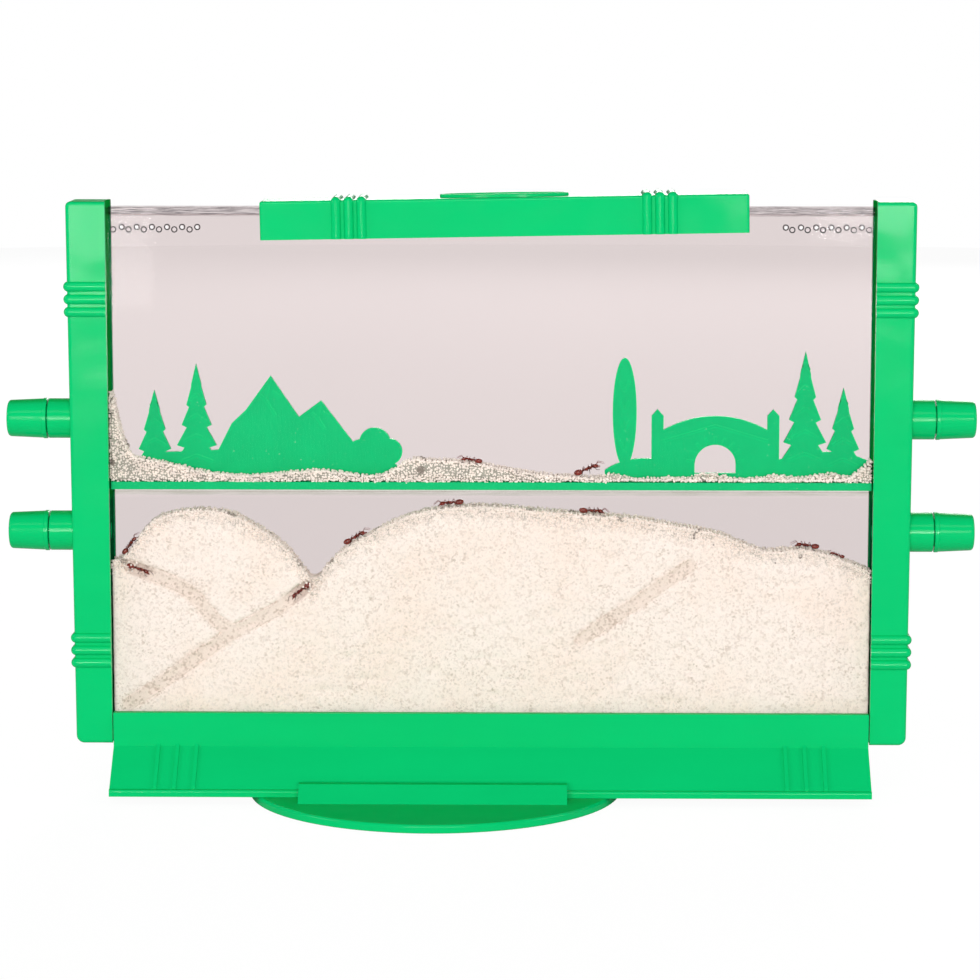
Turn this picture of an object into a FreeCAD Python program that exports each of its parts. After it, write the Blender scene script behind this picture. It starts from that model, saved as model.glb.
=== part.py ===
import FreeCAD, Part
import math
import os

# Table-top ant habitat: two clear panels held a few millimetres apart by two
# green side frames, on a flared base that slides on a round stand.
# Millimetres, +Z up, +X to the right, front towards -Y.
# The origin is on the table, under the middle of the side frames.

V = FreeCAD.Vector
X_AXIS = V(1, 0, 0)
Y_AXIS = V(0, 1, 0)
CENTRE = V(0, 0, 0)

# Chamber and clear panels
window_width = 229.0
chamber_depth = 7.9
panel_thickness = 2.0
panel_top_z = 177.8
panel_grip = 5.0
panel_fit = 0.1
flange_height = 2.4
flange_seam = 0.06
fill_slot_length = 125.0
shelf_rib_depth = 1.0
shelf_rib_height = 1.45

# Vent holes near the panels' top corners
vent_radius = 0.55
vent_count = 6
vent_pitch = 4.55
vent_drop = 6.4
vent_margin_front = 2.3
vent_margin_back = 3.4

# Side frames
frame_width_top = 11.8
frame_width_bottom = 11.0
frame_top_z = 179.7
frame_lip = 1.6
frame_web = 1.6
frame_web_recess = 0.2
frame_wall = 1.8
frame_end_wall = 2.0
frame_rib_thickness = 1.6
frame_pocket_count = 7
frame_top_corner = 1.5
frame_bottom_corner = 2.4
frame_edge_round = 1.1

# Grip beads moulded round the frames and the lid
bead_width = 3.1
bead_proud = 1.05
bead_pitch = 3.8
bead_count = 3
upper_bead_z = 150.65
lower_bead_z = 44.5
lid_bead_x = 46.1

# Tube ports on the side frames and their caps
upper_port_z = 114.2
lower_port_z = 80.05
port_radius = 5.98
port_shoulder_x = 132.95
port_groove = 0.45
spigot_radius = 4.3
spigot_tip_round = 0.5
spigot_length = 9.6
port_bore_radius = 3.1
port_sleeve_wall = 1.5
cap_length = 11.95
cap_end_radius = 5.5
cap_collar_width = 1.2
cap_collar_proud = 0.12
cap_wall = 1.8
cap_fit = 0.06
cap_round = 1.0

# Lid over the filling slot
lid_length = 145.1
lid_offset_x = 4.05
lid_height = 11.5
lid_top_wall = 1.9
lid_side_wall = 2.0
lid_fit = 0.25
lid_seat = 0.1
lid_tilt = 0.95
lid_round = 0.7
oval_length = 38.4
oval_depth = 11.6
oval_height = 1.0
oval_rim = 1.1

# Base
floor_z = 16.0
floor_thickness = 2.2
base_wall = 2.35
base_end_gap = 0.4
base_top_z = 25.5
fold_z = 15.2
toe_y = 20.6
skirt_drop = 2.5
flange_front_y = 21.9
flange_back_y = 18.6
flange_top_z = 4.77
flange_bottom_z = 2.65
flange_round = 0.8
base_end_wall = 1.9
skirt_rib_count = 3
skirt_rib_pitch = 5.8
skirt_rib_width = 1.2
skirt_rib_proud = 0.55
skirt_rib_root = 0.5
skirt_rib_x = 94.7

# Stand
disc_radius = 56.4
disc_thickness = 2.6
disc_top_round = 0.9
disc_bottom_round = 0.4
stand_offset_x = -16.9
rail_length = 80.0
rail_fit = 0.3
rail_top_z = 7.3
rail_top_y = 24.3
rail_foot_y = 30.3
rail_hook_reach = 1.3
rail_hook_edge = 0.6
rail_hook_slope = 1.0
rail_root = 0.5
rail_round = 0.5

# Ledge between the two chambers, and the silhouettes that stand on it
ledge_bottom_z = 93.1
ledge_thickness = 2.3
ledge_fit = 0.2
passage_length = 20.0
passage_front_y = -2.9
passage_back_y = 1.5
passage_middle_x = -5.0
passage_side_x = 84.0
plate_thickness = 1.6
plate_back_gap = 0.65
plate_seat = 0.05
tab_length = 9.0
tab_depth = 1.6
tab_fit = 0.1
relief_width = 0.5
relief_proud = 0.25

# Sand and ants
sand_fit = 0.1
tunnel_radius = 2.0
tunnel_centre_depth = 0.6
ant_length = 7.6
ant_belly_gap = 0.35
ant_panel_gap = 0.2
ant_girth = 0.125

# Sizes that follow from the ones above
chamber_half = chamber_depth / 2
window_half = window_width / 2
web_x = window_half + frame_web_recess
panel_outer_y = chamber_half + panel_thickness
lip_inner_y = panel_outer_y + panel_fit
frame_half_depth = lip_inner_y + frame_lip
core_half = chamber_half - panel_fit
frame_bottom_z = floor_z - panel_fit
panel_bottom_z = floor_z + panel_fit
ledge_top_z = ledge_bottom_z + ledge_thickness
base_half_depth = lip_inner_y + base_wall
base_half_length = window_half - base_end_gap
sand_half_width = window_half - sand_fit
sand_half_depth = chamber_half - sand_fit
plate_back_y = chamber_half - plate_back_gap
plate_front_y = plate_back_y - plate_thickness
plate_bottom_z = ledge_top_z + plate_seat
shelf_rib_top_z = ledge_bottom_z - plate_seat
shelf_rib_bottom_z = shelf_rib_top_z - shelf_rib_height


def box(x0, x1, y0, y1, z0, z1):
    """Box between two corners given axis by axis."""
    return Part.makeBox(x1 - x0, y1 - y0, z1 - z0, V(x0, y0, z0))


def prism_y(points, y0, y1):
    """Polygon of (x, z) points, extruded from y0 to y1."""
    corners = [V(x, y0, z) for x, z in points]
    face = Part.Face(Part.makePolygon(corners + corners[:1]))
    return face.extrude(V(0, y1 - y0, 0))


def prism_x(points, x0, x1):
    """Polygon of (y, z) points, extruded from x0 to x1."""
    corners = [V(x0, y, z) for y, z in points]
    face = Part.Face(Part.makePolygon(corners + corners[:1]))
    return face.extrude(V(x1 - x0, 0, 0))


def rod_x(radius, x0, x1, z):
    """Round bar along X at y = 0."""
    return Part.makeCylinder(radius, x1 - x0, V(x0, 0, z), X_AXIS)


def round_edges(solid, radius, wanted):
    """Fillet the edges whose bounding box passes the test `wanted`."""
    edges = [edge for edge in solid.Edges if wanted(edge.BoundBox)]
    return solid.makeFillet(radius, edges)


def near(a, b):
    """True where two sizes are the same apart from rounding."""
    return abs(a - b) < 1e-4


def bead_centres(middle):
    """Places of a group of grip beads about its middle."""
    first = middle - bead_pitch * (bead_count - 1) / 2
    return [first + bead_pitch * i for i in range(bead_count)]


def frame_outer_x(z):
    """Outer face of the side frame, which leans in towards its foot."""
    share = (z - frame_bottom_z) / (frame_top_z - frame_bottom_z)
    width = frame_width_bottom + share * (frame_width_top - frame_width_bottom)
    return window_half + width


def bead_along(points):
    """Half-sunk round bead that follows a bent path, with ball corners."""
    radius = bead_width / 2
    pieces = [Part.makeSphere(radius, point) for point in points[1:-1]]
    for start, end in zip(points[:-1], points[1:]):
        run = end - start
        pieces.append(Part.makeCylinder(radius, run.Length, start, run))
    return pieces[0].fuse(pieces[1:])


def frame_bead(z):
    """Bead that wraps the frame's front, side and back."""
    sunk = bead_width / 2 - bead_proud
    half = frame_half_depth - sunk
    outer = frame_outer_x(z) - sunk
    return bead_along([V(window_half, -half, z), V(outer, -half, z),
                       V(outer, half, z), V(window_half, half, z)])


def side_frame():
    """Right side frame, moulded in one piece with its two tube ports."""
    outline = [(window_half, frame_bottom_z), (frame_outer_x(frame_bottom_z), frame_bottom_z),
               (frame_outer_x(frame_top_z), frame_top_z), (window_half, frame_top_z)]
    frame = prism_y(outline, -frame_half_depth, frame_half_depth)
    frame = round_edges(frame, frame_top_corner,
                        lambda b: near(b.ZMax, frame_top_z) and near(b.ZMin, frame_top_z)
                        and near(b.XMin, frame_outer_x(frame_top_z)))
    frame = round_edges(frame, frame_bottom_corner,
                        lambda b: near(b.ZMax, frame_bottom_z) and near(b.ZMin, frame_bottom_z)
                        and near(b.XMin, frame_outer_x(frame_bottom_z)))
    frame = round_edges(frame, frame_edge_round,
                        lambda b: b.YLength < 1e-4 and b.XMax > window_half + 1e-3)
    for middle in (upper_bead_z, lower_bead_z):
        for z in bead_centres(middle):
            frame = frame.fuse(frame_bead(z))

    clear_height = frame_top_z - frame_bottom_z - 2 * frame_end_wall
    pocket_height = clear_height - frame_rib_thickness * (frame_pocket_count - 1)
    pocket_height = pocket_height / frame_pocket_count
    for i in range(frame_pocket_count):
        z = frame_bottom_z + frame_end_wall + i * (pocket_height + frame_rib_thickness)
        outer = min(frame_outer_x(z), frame_outer_x(z + pocket_height)) - frame_wall
        frame = frame.cut(box(web_x + frame_web, outer, -lip_inner_y, lip_inner_y,
                              z, z + pocket_height))
    frame = frame.cut(box(window_half - 1, web_x, -core_half - panel_fit, core_half + panel_fit,
                          frame_bottom_z - 1, panel_top_z + panel_fit))

    for z in (upper_port_z, lower_port_z):
        outer = frame_outer_x(z)
        sleeve = rod_x(port_bore_radius + port_sleeve_wall, web_x + frame_web / 2,
                       outer - frame_wall / 2, z)
        shoulder = rod_x(port_radius, outer - frame_wall / 2, port_shoulder_x, z)
        spigot = rod_x(spigot_radius, port_shoulder_x, port_shoulder_x + spigot_length, z)
        tip = port_shoulder_x + spigot_length
        spigot = round_edges(spigot, spigot_tip_round, lambda b: near(b.XMin, tip) and near(b.XMax, tip))
        frame = frame.fuse([sleeve, shoulder, spigot])

    for side in (-1, 1):
        near_y, far_y = sorted((side * core_half, side * lip_inner_y))
        frame = frame.cut(box(window_half - 1, window_half + panel_grip + 2 * panel_fit,
                              near_y, far_y, frame_bottom_z - 1, panel_top_z + panel_fit))
    for z in (upper_port_z, lower_port_z):
        frame = frame.cut(rod_x(port_bore_radius, window_half - 1,
                                port_shoulder_x + spigot_length + 1, z))
    return frame.removeSplitter()


def port_cap(z):
    """Right-hand cap that pushes over a port's spigot."""
    start = port_shoulder_x + port_groove
    end = start + cap_length
    collar = start + cap_collar_width
    wide = port_radius + cap_collar_proud
    round_start = end - cap_round
    round_low = cap_end_radius - cap_round
    middle = V(round_start + cap_round * math.sin(math.pi / 4), 0,
               round_low + cap_round * math.cos(math.pi / 4))
    outline = Part.Wire([
        Part.makePolygon([V(start, 0, 0), V(start, 0, wide - 0.2), V(start + 0.2, 0, wide),
                          V(collar, 0, wide), V(collar + 0.15, 0, port_radius - 0.05),
                          V(round_start, 0, cap_end_radius)]),
        Part.Arc(V(round_start, 0, cap_end_radius), middle, V(end, 0, round_low)).toShape(),
        Part.makePolygon([V(end, 0, round_low), V(end, 0, 0), V(start, 0, 0)]),
    ])
    cap = Part.Face(outline).revolve(CENTRE, X_AXIS, 360)
    cap = cap.cut(rod_x(spigot_radius + cap_fit, start - 1, end - cap_wall, 0))
    return cap.translated(V(0, 0, z))


def clear_panel(vent_margin):
    """Front panel: sheet with shelf rib, top flanges and vent holes."""
    half = window_half + panel_grip
    sheet = box(-half, half, -panel_outer_y, -chamber_half, panel_bottom_z, panel_top_z)
    rib_half = window_half - panel_fit
    rib = box(-rib_half, rib_half, -chamber_half, -chamber_half + shelf_rib_depth,
              shelf_rib_bottom_z, shelf_rib_top_z)
    flanges = []
    for side in (-1, 1):
        x0, x1 = sorted((side * fill_slot_length / 2, side * rib_half))
        flanges.append(box(x0, x1, -chamber_half, -flange_seam / 2,
                           panel_top_z - flange_height, panel_top_z))
    panel = sheet.fuse([rib] + flanges)
    for side in (-1, 1):
        for i in range(vent_count):
            x = side * (window_half - vent_margin - vent_pitch * i)
            hole = Part.makeCylinder(vent_radius, panel_thickness + 2,
                                     V(x, -panel_outer_y - 1, panel_top_z - vent_drop), Y_AXIS)
            panel = panel.cut(hole)
    return panel.removeSplitter()


def lid_bead(x):
    """Bead that wraps the lid's front, top and back."""
    sunk = bead_width / 2 - bead_proud
    half = panel_outer_y + lid_fit + lid_side_wall - sunk
    top = lid_height - sunk
    return bead_along([V(x, -half, 0), V(x, -half, top), V(x, half, top), V(x, half, 0)])


def ellipse_prism(length, depth, z, height):
    """Upright elliptical block centred on the Z axis."""
    ellipse = Part.Ellipse(V(0, 0, z), length / 2, depth / 2).toShape()
    return Part.Face(Part.Wire([ellipse])).extrude(V(0, 0, height))


def lid():
    """Channel-shaped lid that straddles the panels' top edges."""
    inner = panel_outer_y + lid_fit
    half = inner + lid_side_wall
    x = lid_length / 2
    shell = box(-x, x, -half, half, 0, lid_height)
    shell = round_edges(shell, lid_round, lambda b: b.ZMin > lid_height - 1 or b.ZLength > 1)
    beads = []
    for side in (-1, 1):
        beads += [lid_bead(bead_x) for bead_x in bead_centres(side * lid_bead_x)]
    shell = shell.fuse(beads)
    rim = ellipse_prism(oval_length, oval_depth, lid_height - 0.1, oval_height + 0.1)
    rim = round_edges(rim, oval_height * 0.4, lambda b: near(b.ZMin, lid_height + oval_height))
    rim = rim.cut(ellipse_prism(oval_length - 2 * oval_rim, oval_depth - 2 * oval_rim,
                                lid_height, oval_height + 1))
    shell = shell.fuse(rim)
    shell = shell.cut(box(-x - 1, x + 1, -inner, inner, -1, lid_height - lid_top_wall))
    shell = shell.removeSplitter()
    seat_z = panel_top_z + lid_seat - (lid_height - lid_top_wall)
    shell.translate(V(lid_offset_x, 0, seat_z))
    shell.rotate(V(lid_offset_x - x, 0, panel_top_z + lid_seat), Y_AXIS, -lid_tilt)
    return shell


def skirt_line_y(z, drop):
    """Distance from the middle plane to the skirt's slope, lowered by drop."""
    slope = (toe_y - base_half_depth) / (fold_z - flange_top_z)
    return base_half_depth + slope * (fold_z - drop - z)


def skirt_rib(x, side):
    """Raised rib down the slope of the skirt."""
    run = toe_y - base_half_depth
    fall = fold_z - flange_top_z
    length = math.hypot(run, fall)
    out_y = skirt_rib_proud * fall / length
    out_z = skirt_rib_proud * run / length
    foot_z = flange_top_z + out_z + out_y * fall / run
    points = [(base_half_depth - skirt_rib_root, fold_z - skirt_rib_root),
              (base_half_depth, fold_z + 2 * out_z),
              (base_half_depth + out_y, fold_z + out_z), (toe_y, foot_z),
              (toe_y, flange_top_z - skirt_rib_root)]
    return prism_x([(side * y, z) for y, z in points],
                   x - skirt_rib_width / 2, x + skirt_rib_width / 2)


def base():
    """Flared base: a trough for the panels on a hollow skirt with two toe flanges."""
    right = [(base_half_depth, base_top_z), (base_half_depth, fold_z), (toe_y, flange_top_z),
             (flange_front_y, flange_top_z), (flange_front_y, flange_bottom_z)]
    left = [(-y, z) for y, z in reversed(right)]
    body = prism_x(right + left, -base_half_length, base_half_length)
    body = round_edges(body, flange_round,
                       lambda b: b.XLength > 1 and near(b.YLength, 0)
                       and near(abs(b.YMin), flange_front_y) and near(b.ZMin, flange_top_z))

    hollow_top = floor_z - floor_thickness
    hollow_right = [(skirt_line_y(hollow_top, skirt_drop), hollow_top),
                    (flange_back_y, fold_z - skirt_drop
                     - (flange_back_y - base_half_depth) * (fold_z - flange_top_z)
                     / (toe_y - base_half_depth)),
                    (flange_back_y, flange_bottom_z - 1)]
    hollow_left = [(-y, z) for y, z in reversed(hollow_right)]
    inner_x = base_half_length - base_end_wall
    body = body.cut(prism_x(hollow_right + hollow_left, -inner_x, inner_x))
    body = body.cut(box(-base_half_length - 1, base_half_length + 1, -lip_inner_y, lip_inner_y,
                        floor_z, base_top_z + 1))
    ribs = []
    first = skirt_rib_x - skirt_rib_pitch * (skirt_rib_count - 1) / 2
    for end in (-1, 1):
        for side in (-1, 1):
            for i in range(skirt_rib_count):
                ribs.append(skirt_rib(end * (first + skirt_rib_pitch * i), side))
    return body.fuse(ribs).removeSplitter()


def stand():
    """Round foot with two rails that hook over the base's toe flanges."""
    disc = Part.makeCylinder(disc_radius, disc_thickness)
    disc = round_edges(disc, disc_top_round, lambda b: near(b.ZMin, disc_thickness))
    disc = round_edges(disc, disc_bottom_round, lambda b: near(b.ZMax, 0))
    inner = flange_front_y + rail_fit
    under = flange_top_z + rail_fit
    tip = flange_front_y - rail_hook_reach + rail_fit
    rails = []
    for side in (-1, 1):
        points = [(inner, disc_thickness - rail_root), (inner, under), (tip, under),
                  (tip, under + rail_hook_edge), (tip + rail_hook_slope, rail_top_z),
                  (rail_top_y, rail_top_z), (rail_foot_y, disc_thickness),
                  (rail_foot_y, disc_thickness - rail_root)]
        rail = prism_x([(side * y, z) for y, z in points], -rail_length / 2, rail_length / 2)
        rail = round_edges(rail, rail_round,
                           lambda b: near(b.ZMin, rail_top_z) and near(b.ZMax, rail_top_z)
                           and b.XLength > 1 and near(abs(b.YMin), rail_top_y))
        rails.append(rail)
    return disc.fuse(rails).removeSplitter().translated(V(stand_offset_x, 0, 0))


def tab_places(x0, x1):
    """Middles of the two tabs under a silhouette that spans x0 to x1."""
    span = x1 - x0
    return (x0 + 0.3 * span, x0 + 0.78 * span)


left_plate_x0 = -0.95 * window_half
left_plate_x1 = -0.21 * window_half
right_plate_x0 = 0.3 * window_half
right_plate_x1 = 0.992 * window_half


def ledge():
    """Shelf between the chambers, with passages for ants and sand."""
    half_x = window_half - ledge_fit
    half_y = chamber_half - ledge_fit
    shelf = box(-half_x, half_x, -half_y, half_y, ledge_bottom_z, ledge_top_z)
    for x in (-passage_side_x, passage_middle_x, passage_side_x):
        shelf = shelf.cut(box(x - passage_length / 2, x + passage_length / 2,
                              passage_front_y, passage_back_y,
                              ledge_bottom_z - 1, ledge_top_z + 1))
    for x0, x1 in ((left_plate_x0, left_plate_x1), (right_plate_x0, right_plate_x1)):
        for x in tab_places(x0, x1):
            half = tab_length / 2 + tab_fit
            shelf = shelf.cut(box(x - half, x + half, plate_front_y - tab_fit,
                                  plate_back_y + tab_fit, ledge_top_z - tab_depth - tab_fit,
                                  ledge_top_z + 1))
    return shelf


def plate_block(points):
    """Slab of a silhouette cut to an outline of (x, height above the ledge) points."""
    return prism_y([(x, plate_bottom_z + z) for x, z in points], plate_front_y, plate_back_y)


def plate_round(x, z, radius):
    """Round slab of a silhouette, or a hole when cut."""
    return Part.makeCylinder(radius, plate_thickness, V(x, plate_front_y, plate_bottom_z + z),
                             Y_AXIS)


def relief_line(x0, z0, x1, z1):
    """Raised line on a silhouette's front face."""
    length = math.hypot(x1 - x0, z1 - z0)
    line = Part.makeBox(length, relief_proud + 0.2, relief_width,
                        V(0, -relief_proud, -relief_width / 2))
    line.rotate(CENTRE, Y_AXIS, -math.degrees(math.atan2(z1 - z0, x1 - x0)))
    return line.translated(V(x0, plate_front_y, plate_bottom_z + z0))


def fir_tree(x, height, width, tiers):
    """Conifer with saw-tooth boughs, and a raised line along each tier."""
    trunk = 0.12 * height
    step = (height - trunk) / tiers
    right = []
    for i in range(tiers):
        reach = width / 2 * (tiers - i) / tiers
        right.append((x + reach, trunk + step * i))
        right.append((x + 0.5 * reach, trunk + step * (i + 1) - 0.12 * step))
    right[-1] = (x, height)
    left = [(2 * x - px, pz) for px, pz in reversed(right[:-1])]
    stem = 0.07 * width
    pieces = [plate_block(right + left), plate_block([(x - stem, 0), (x + stem, 0),
                                                      (x + stem, trunk + 1), (x - stem, trunk + 1)])]
    for i in range(tiers):
        reach = 0.62 * width / 2 * (tiers - i) / tiers
        z = trunk + step * (i + 0.22)
        pieces.append(relief_line(x - reach, z, x, z + 0.3 * step))
        pieces.append(relief_line(x, z + 0.3 * step, x + reach, z))
    return pieces


def ground_strip(points):
    """Low wavy bank along the foot of a silhouette."""
    top = Part.BSplineCurve()
    top.interpolate([V(x, plate_front_y, plate_bottom_z + z) for x, z in points])
    x0 = points[0][0]
    x1 = points[-1][0]
    feet = Part.makePolygon([V(x1, plate_front_y, plate_bottom_z + points[-1][1]),
                             V(x1, plate_front_y, plate_bottom_z),
                             V(x0, plate_front_y, plate_bottom_z),
                             V(x0, plate_front_y, plate_bottom_z + points[0][1])])
    face = Part.Face(Part.Wire([top.toShape()] + feet.Edges))
    return face.extrude(V(0, plate_thickness, 0))


def with_tabs(plate, x0, x1):
    """Silhouette with its two tabs, which stand in the ledge's sockets."""
    tabs = []
    for x in tab_places(x0, x1):
        tabs.append(box(x - tab_length / 2, x + tab_length / 2, plate_front_y, plate_back_y,
                        ledge_top_z - tab_depth, plate_bottom_z + 0.5))
    return plate.fuse(tabs).removeSplitter()


def scenery_left():
    """Mountain range with fir trees and a bush."""
    x0 = left_plate_x0
    span = left_plate_x1 - left_plate_x0
    at = [x0 + span * share for share in (0, 0.1, 0.24, 0.36, 0.5, 0.66, 0.82, 1)]
    bank = ground_strip([(at[0], 5), (at[1], 8), (at[2], 8.5), (at[3], 9.5), (at[4], 10.5),
                         (at[5], 9.5), (at[6], 7.5), (at[7], 3)])
    peak_a = (x0 + 0.5 * span, 31.5)
    peak_b = (x0 + 0.68 * span, 24)
    range_outline = [(x0 + 0.27 * span, 2), (x0 + 0.36 * span, 17), (x0 + 0.41 * span, 21), peak_a,
                     (x0 + 0.56 * span, 24), (x0 + 0.6 * span, 19), peak_b,
                     (x0 + 0.76 * span, 15), (x0 + 0.88 * span, 2)]
    pieces = [bank, plate_block(range_outline)]
    pieces += fir_tree(x0 + 0.085 * span, 27, 13, 4)
    pieces += fir_tree(x0 + 0.235 * span, 35, 15, 5)
    for dx, z, radius in ((-4.2, 8, 4.2), (0, 11, 4.8), (4.3, 8.5, 4)):
        pieces.append(plate_round(x0 + 0.87 * span + dx, z, radius))
    for (px, pz), reach in ((peak_a, 7), (peak_b, 5)):
        pieces.append(relief_line(px, pz - 1, px - 0.25 * reach, pz - reach))
        pieces.append(relief_line(px - 0.25 * reach, pz - reach, px + 0.2 * reach, pz - 1.7 * reach))
        pieces.append(relief_line(px - 0.55 * reach, pz - 0.75 * reach, px - 0.25 * reach,
                                  pz - reach))
        pieces.append(relief_line(px + 0.1 * reach, pz - 0.7 * reach, px + 0.45 * reach,
                                  pz - 0.9 * reach))
    plate = pieces[0].fuse(pieces[1:])
    return with_tabs(plate, left_plate_x0, left_plate_x1)


def scenery_right():
    """Slim cypress, arched footbridge between two posts, and two firs."""
    x0 = right_plate_x0
    span = right_plate_x1 - right_plate_x0
    at = [x0 + span * share for share in (0, 0.12, 0.3, 0.45, 0.6, 0.8, 1)]
    bank = ground_strip([(at[0], 3), (at[1], 6.5), (at[2], 5), (at[3], 3), (at[4], 5),
                         (at[5], 8.5), (at[6], 6)])
    bridge_x = x0 + 0.42 * span
    bridge_half = 0.24 * span
    deck = Part.Arc(V(bridge_x - bridge_half, plate_front_y, plate_bottom_z + 13),
                    V(bridge_x, plate_front_y, plate_bottom_z + 19.5),
                    V(bridge_x + bridge_half, plate_front_y, plate_bottom_z + 13)).toShape()
    feet = Part.makePolygon([V(bridge_x + bridge_half, plate_front_y, plate_bottom_z + 13),
                             V(bridge_x + bridge_half, plate_front_y, plate_bottom_z + 1),
                             V(bridge_x - bridge_half, plate_front_y, plate_bottom_z + 1),
                             V(bridge_x - bridge_half, plate_front_y, plate_bottom_z + 13)])
    bridge = Part.Face(Part.Wire([deck] + feet.Edges)).extrude(V(0, plate_thickness, 0))
    pieces = [bank, bridge]
    for side in (-1, 1):
        post = bridge_x + side * (bridge_half - 1.6)
        pieces.append(plate_block([(post - 1.8, 4), (post + 1.8, 4), (post + 1.8, 19.5),
                                   (post, 21.5), (post - 1.8, 19.5)]))
    cypress = Part.Ellipse(V(0, 0, 0), 16.5, 3.6)
    cypress.rotate(FreeCAD.Placement(CENTRE, FreeCAD.Rotation(V(1, 1, 1), -120)))
    tree = Part.Face(Part.Wire([cypress.toShape()]))
    tree.translate(V(x0 + 0.075 * span, plate_front_y, plate_bottom_z + 20.5))
    pieces.append(tree.extrude(V(0, plate_thickness, 0)))
    pieces += fir_tree(x0 + 0.76 * span, 39, 16, 5)
    pieces += fir_tree(x0 + 0.905 * span, 28, 13, 4)
    plate = pieces[0].fuse(pieces[1:])
    arch = plate_round(bridge_x, 4.6, 6.2).fuse(
        plate_block([(bridge_x - 6.2, 2.2), (bridge_x + 6.2, 2.2),
                     (bridge_x + 6.2, 4.6), (bridge_x - 6.2, 4.6)]))
    keep = box(x0, right_plate_x1, plate_front_y - 1, plate_back_y, plate_bottom_z + 2.2,
               plate_bottom_z + 40)
    plate = plate.cut(arch.common(keep))
    lines = []
    stones = 9
    for i in range(stones):
        turn = math.pi * (i + 0.5) / stones
        lines.append(relief_line(bridge_x + 6.6 * math.cos(turn), 4.6 + 6.6 * math.sin(turn),
                                 bridge_x + 8.6 * math.cos(turn), 4.6 + 8.6 * math.sin(turn)))
    for side in (-1, 1):
        lines.append(relief_line(bridge_x + side * (bridge_half - 3.5), 12, bridge_x, 16.6))
    for z in (12, 18, 24, 30):
        lines.append(relief_line(x0 + 0.075 * span, z - 3, x0 + 0.075 * span + 1.4, z))
        lines.append(relief_line(x0 + 0.075 * span - 1.4, z, x0 + 0.075 * span, z - 3))
    plate = plate.fuse(lines)
    return with_tabs(plate, right_plate_x0, right_plate_x1)


# Sand surfaces: shares of the half width, and shares of the lower chamber's
# height or, above the ledge, millimetres of depth on it.
lower_surface = [(-1, 0.727), (-0.965, 0.75), (-0.9, 0.877), (-0.845, 0.92), (-0.765, 0.934),
                 (-0.685, 0.918), (-0.62, 0.869), (-0.515, 0.737), (-0.467, 0.665),
                 (-0.423, 0.725), (-0.317, 0.839), (-0.239, 0.899), (-0.159, 0.935), (0, 0.95),
                 (0.222, 0.921), (0.393, 0.901), (0.497, 0.873), (0.603, 0.841), (0.735, 0.774),
                 (0.814, 0.782), (0.892, 0.758), (1, 0.692)]
upper_surface = [(-1, 27.2), (-0.985, 19.5), (-0.965, 11.5), (-0.945, 8), (-0.9, 6.3),
                 (-0.83, 4.8), (-0.765, 3), (-0.66, 1.6), (-0.56, 2.1), (-0.45, 3.1), (-0.37, 2.2),
                 (-0.3, 1.6), (-0.255, 3.6), (-0.215, 6.3), (-0.16, 6.2), (-0.107, 6.1),
                 (-0.04, 5.2), (0.038, 3.7), (0.103, 2.4), (0.17, 1.6), (0.25, 1.2), (0.31, 0.7)]
corner_surface = [(0.915, 0.5), (0.945, 1.7), (0.97, 3.6), (1, 6.6)]

lower_bottom_z = floor_z + sand_fit
lower_height = shelf_rib_bottom_z - floor_z
upper_bottom_z = ledge_top_z + plate_seat


def lower_curve():
    """Top of the sand in the lower chamber."""
    curve = Part.BSplineCurve()
    curve.interpolate([V(x * sand_half_width, 0, floor_z + z * lower_height)
                       for x, z in lower_surface])
    return curve


def upper_curve(surface):
    """Top of the sand on the ledge."""
    curve = Part.BSplineCurve()
    curve.interpolate([V(x * sand_half_width, 0, ledge_top_z + z) for x, z in surface])
    return curve


def sand_block(curve, bottom):
    """Sand under a curve in the middle plane, filling the chamber's depth."""
    start = curve.StartPoint
    end = curve.EndPoint
    feet = Part.makePolygon([end, V(end.x, 0, bottom), V(start.x, 0, bottom), start])
    face = Part.Face(Part.Wire([curve.toShape()] + feet.Edges))
    face.translate(V(0, -sand_half_depth, 0))
    return face.extrude(V(0, 2 * sand_half_depth, 0))


# Tunnels along the front panel, as shares of the half width and of the
# lower chamber's height.
main_tunnel = [(-0.46, 0.66), (-0.56, 0.54), (-0.68, 0.443), (-0.77, 0.35), (-0.88, 0.227),
               (-0.96, 0.15)]
side_tunnel = [(-0.965, 0.715), (-0.87, 0.663), (-0.795, 0.61), (-0.73, 0.49), (-0.68, 0.443)]
faint_tunnel = [(0.235, 0.415), (0.395, 0.578), (0.525, 0.72)]
tunnel_y = -chamber_half + tunnel_centre_depth


def tunnel_point(share_x, share_z):
    """Point on a tunnel's axis."""
    return V(share_x * sand_half_width, tunnel_y, floor_z + share_z * lower_height)


def tunnel(route):
    """Round-bottomed groove along a route, with round ends and bends."""
    points = [tunnel_point(x, z) for x, z in route]
    pieces = [Part.makeSphere(tunnel_radius, point) for point in points]
    for start, end in zip(points[:-1], points[1:]):
        run = end - start
        pieces.append(Part.makeCylinder(tunnel_radius, run.Length, start, run))
    return pieces[0].fuse(pieces[1:])


def sand_bed():
    """Sand in the lower chamber, with the tunnels that show at the front panel."""
    bed = sand_block(lower_curve(), lower_bottom_z)
    for route in (main_tunnel, side_tunnel, faint_tunnel):
        bed = bed.cut(tunnel(route))
    return bed


def upper_sand():
    """Sand on the ledge: one long drift and a heap in the right corner."""
    drift = sand_block(upper_curve(upper_surface), upper_bottom_z)
    heap = sand_block(upper_curve(corner_surface), upper_bottom_z)
    for x0, x1 in ((left_plate_x0, left_plate_x1), (right_plate_x0, right_plate_x1)):
        room = box(x0 - sand_fit, x1 + sand_fit, plate_front_y - relief_proud - sand_fit,
                   chamber_half, ledge_top_z - 1, panel_top_z)
        drift = drift.cut(room)
        heap = heap.cut(room)
    return Part.makeCompound([drift.Solids[0], heap.Solids[0]])


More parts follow.
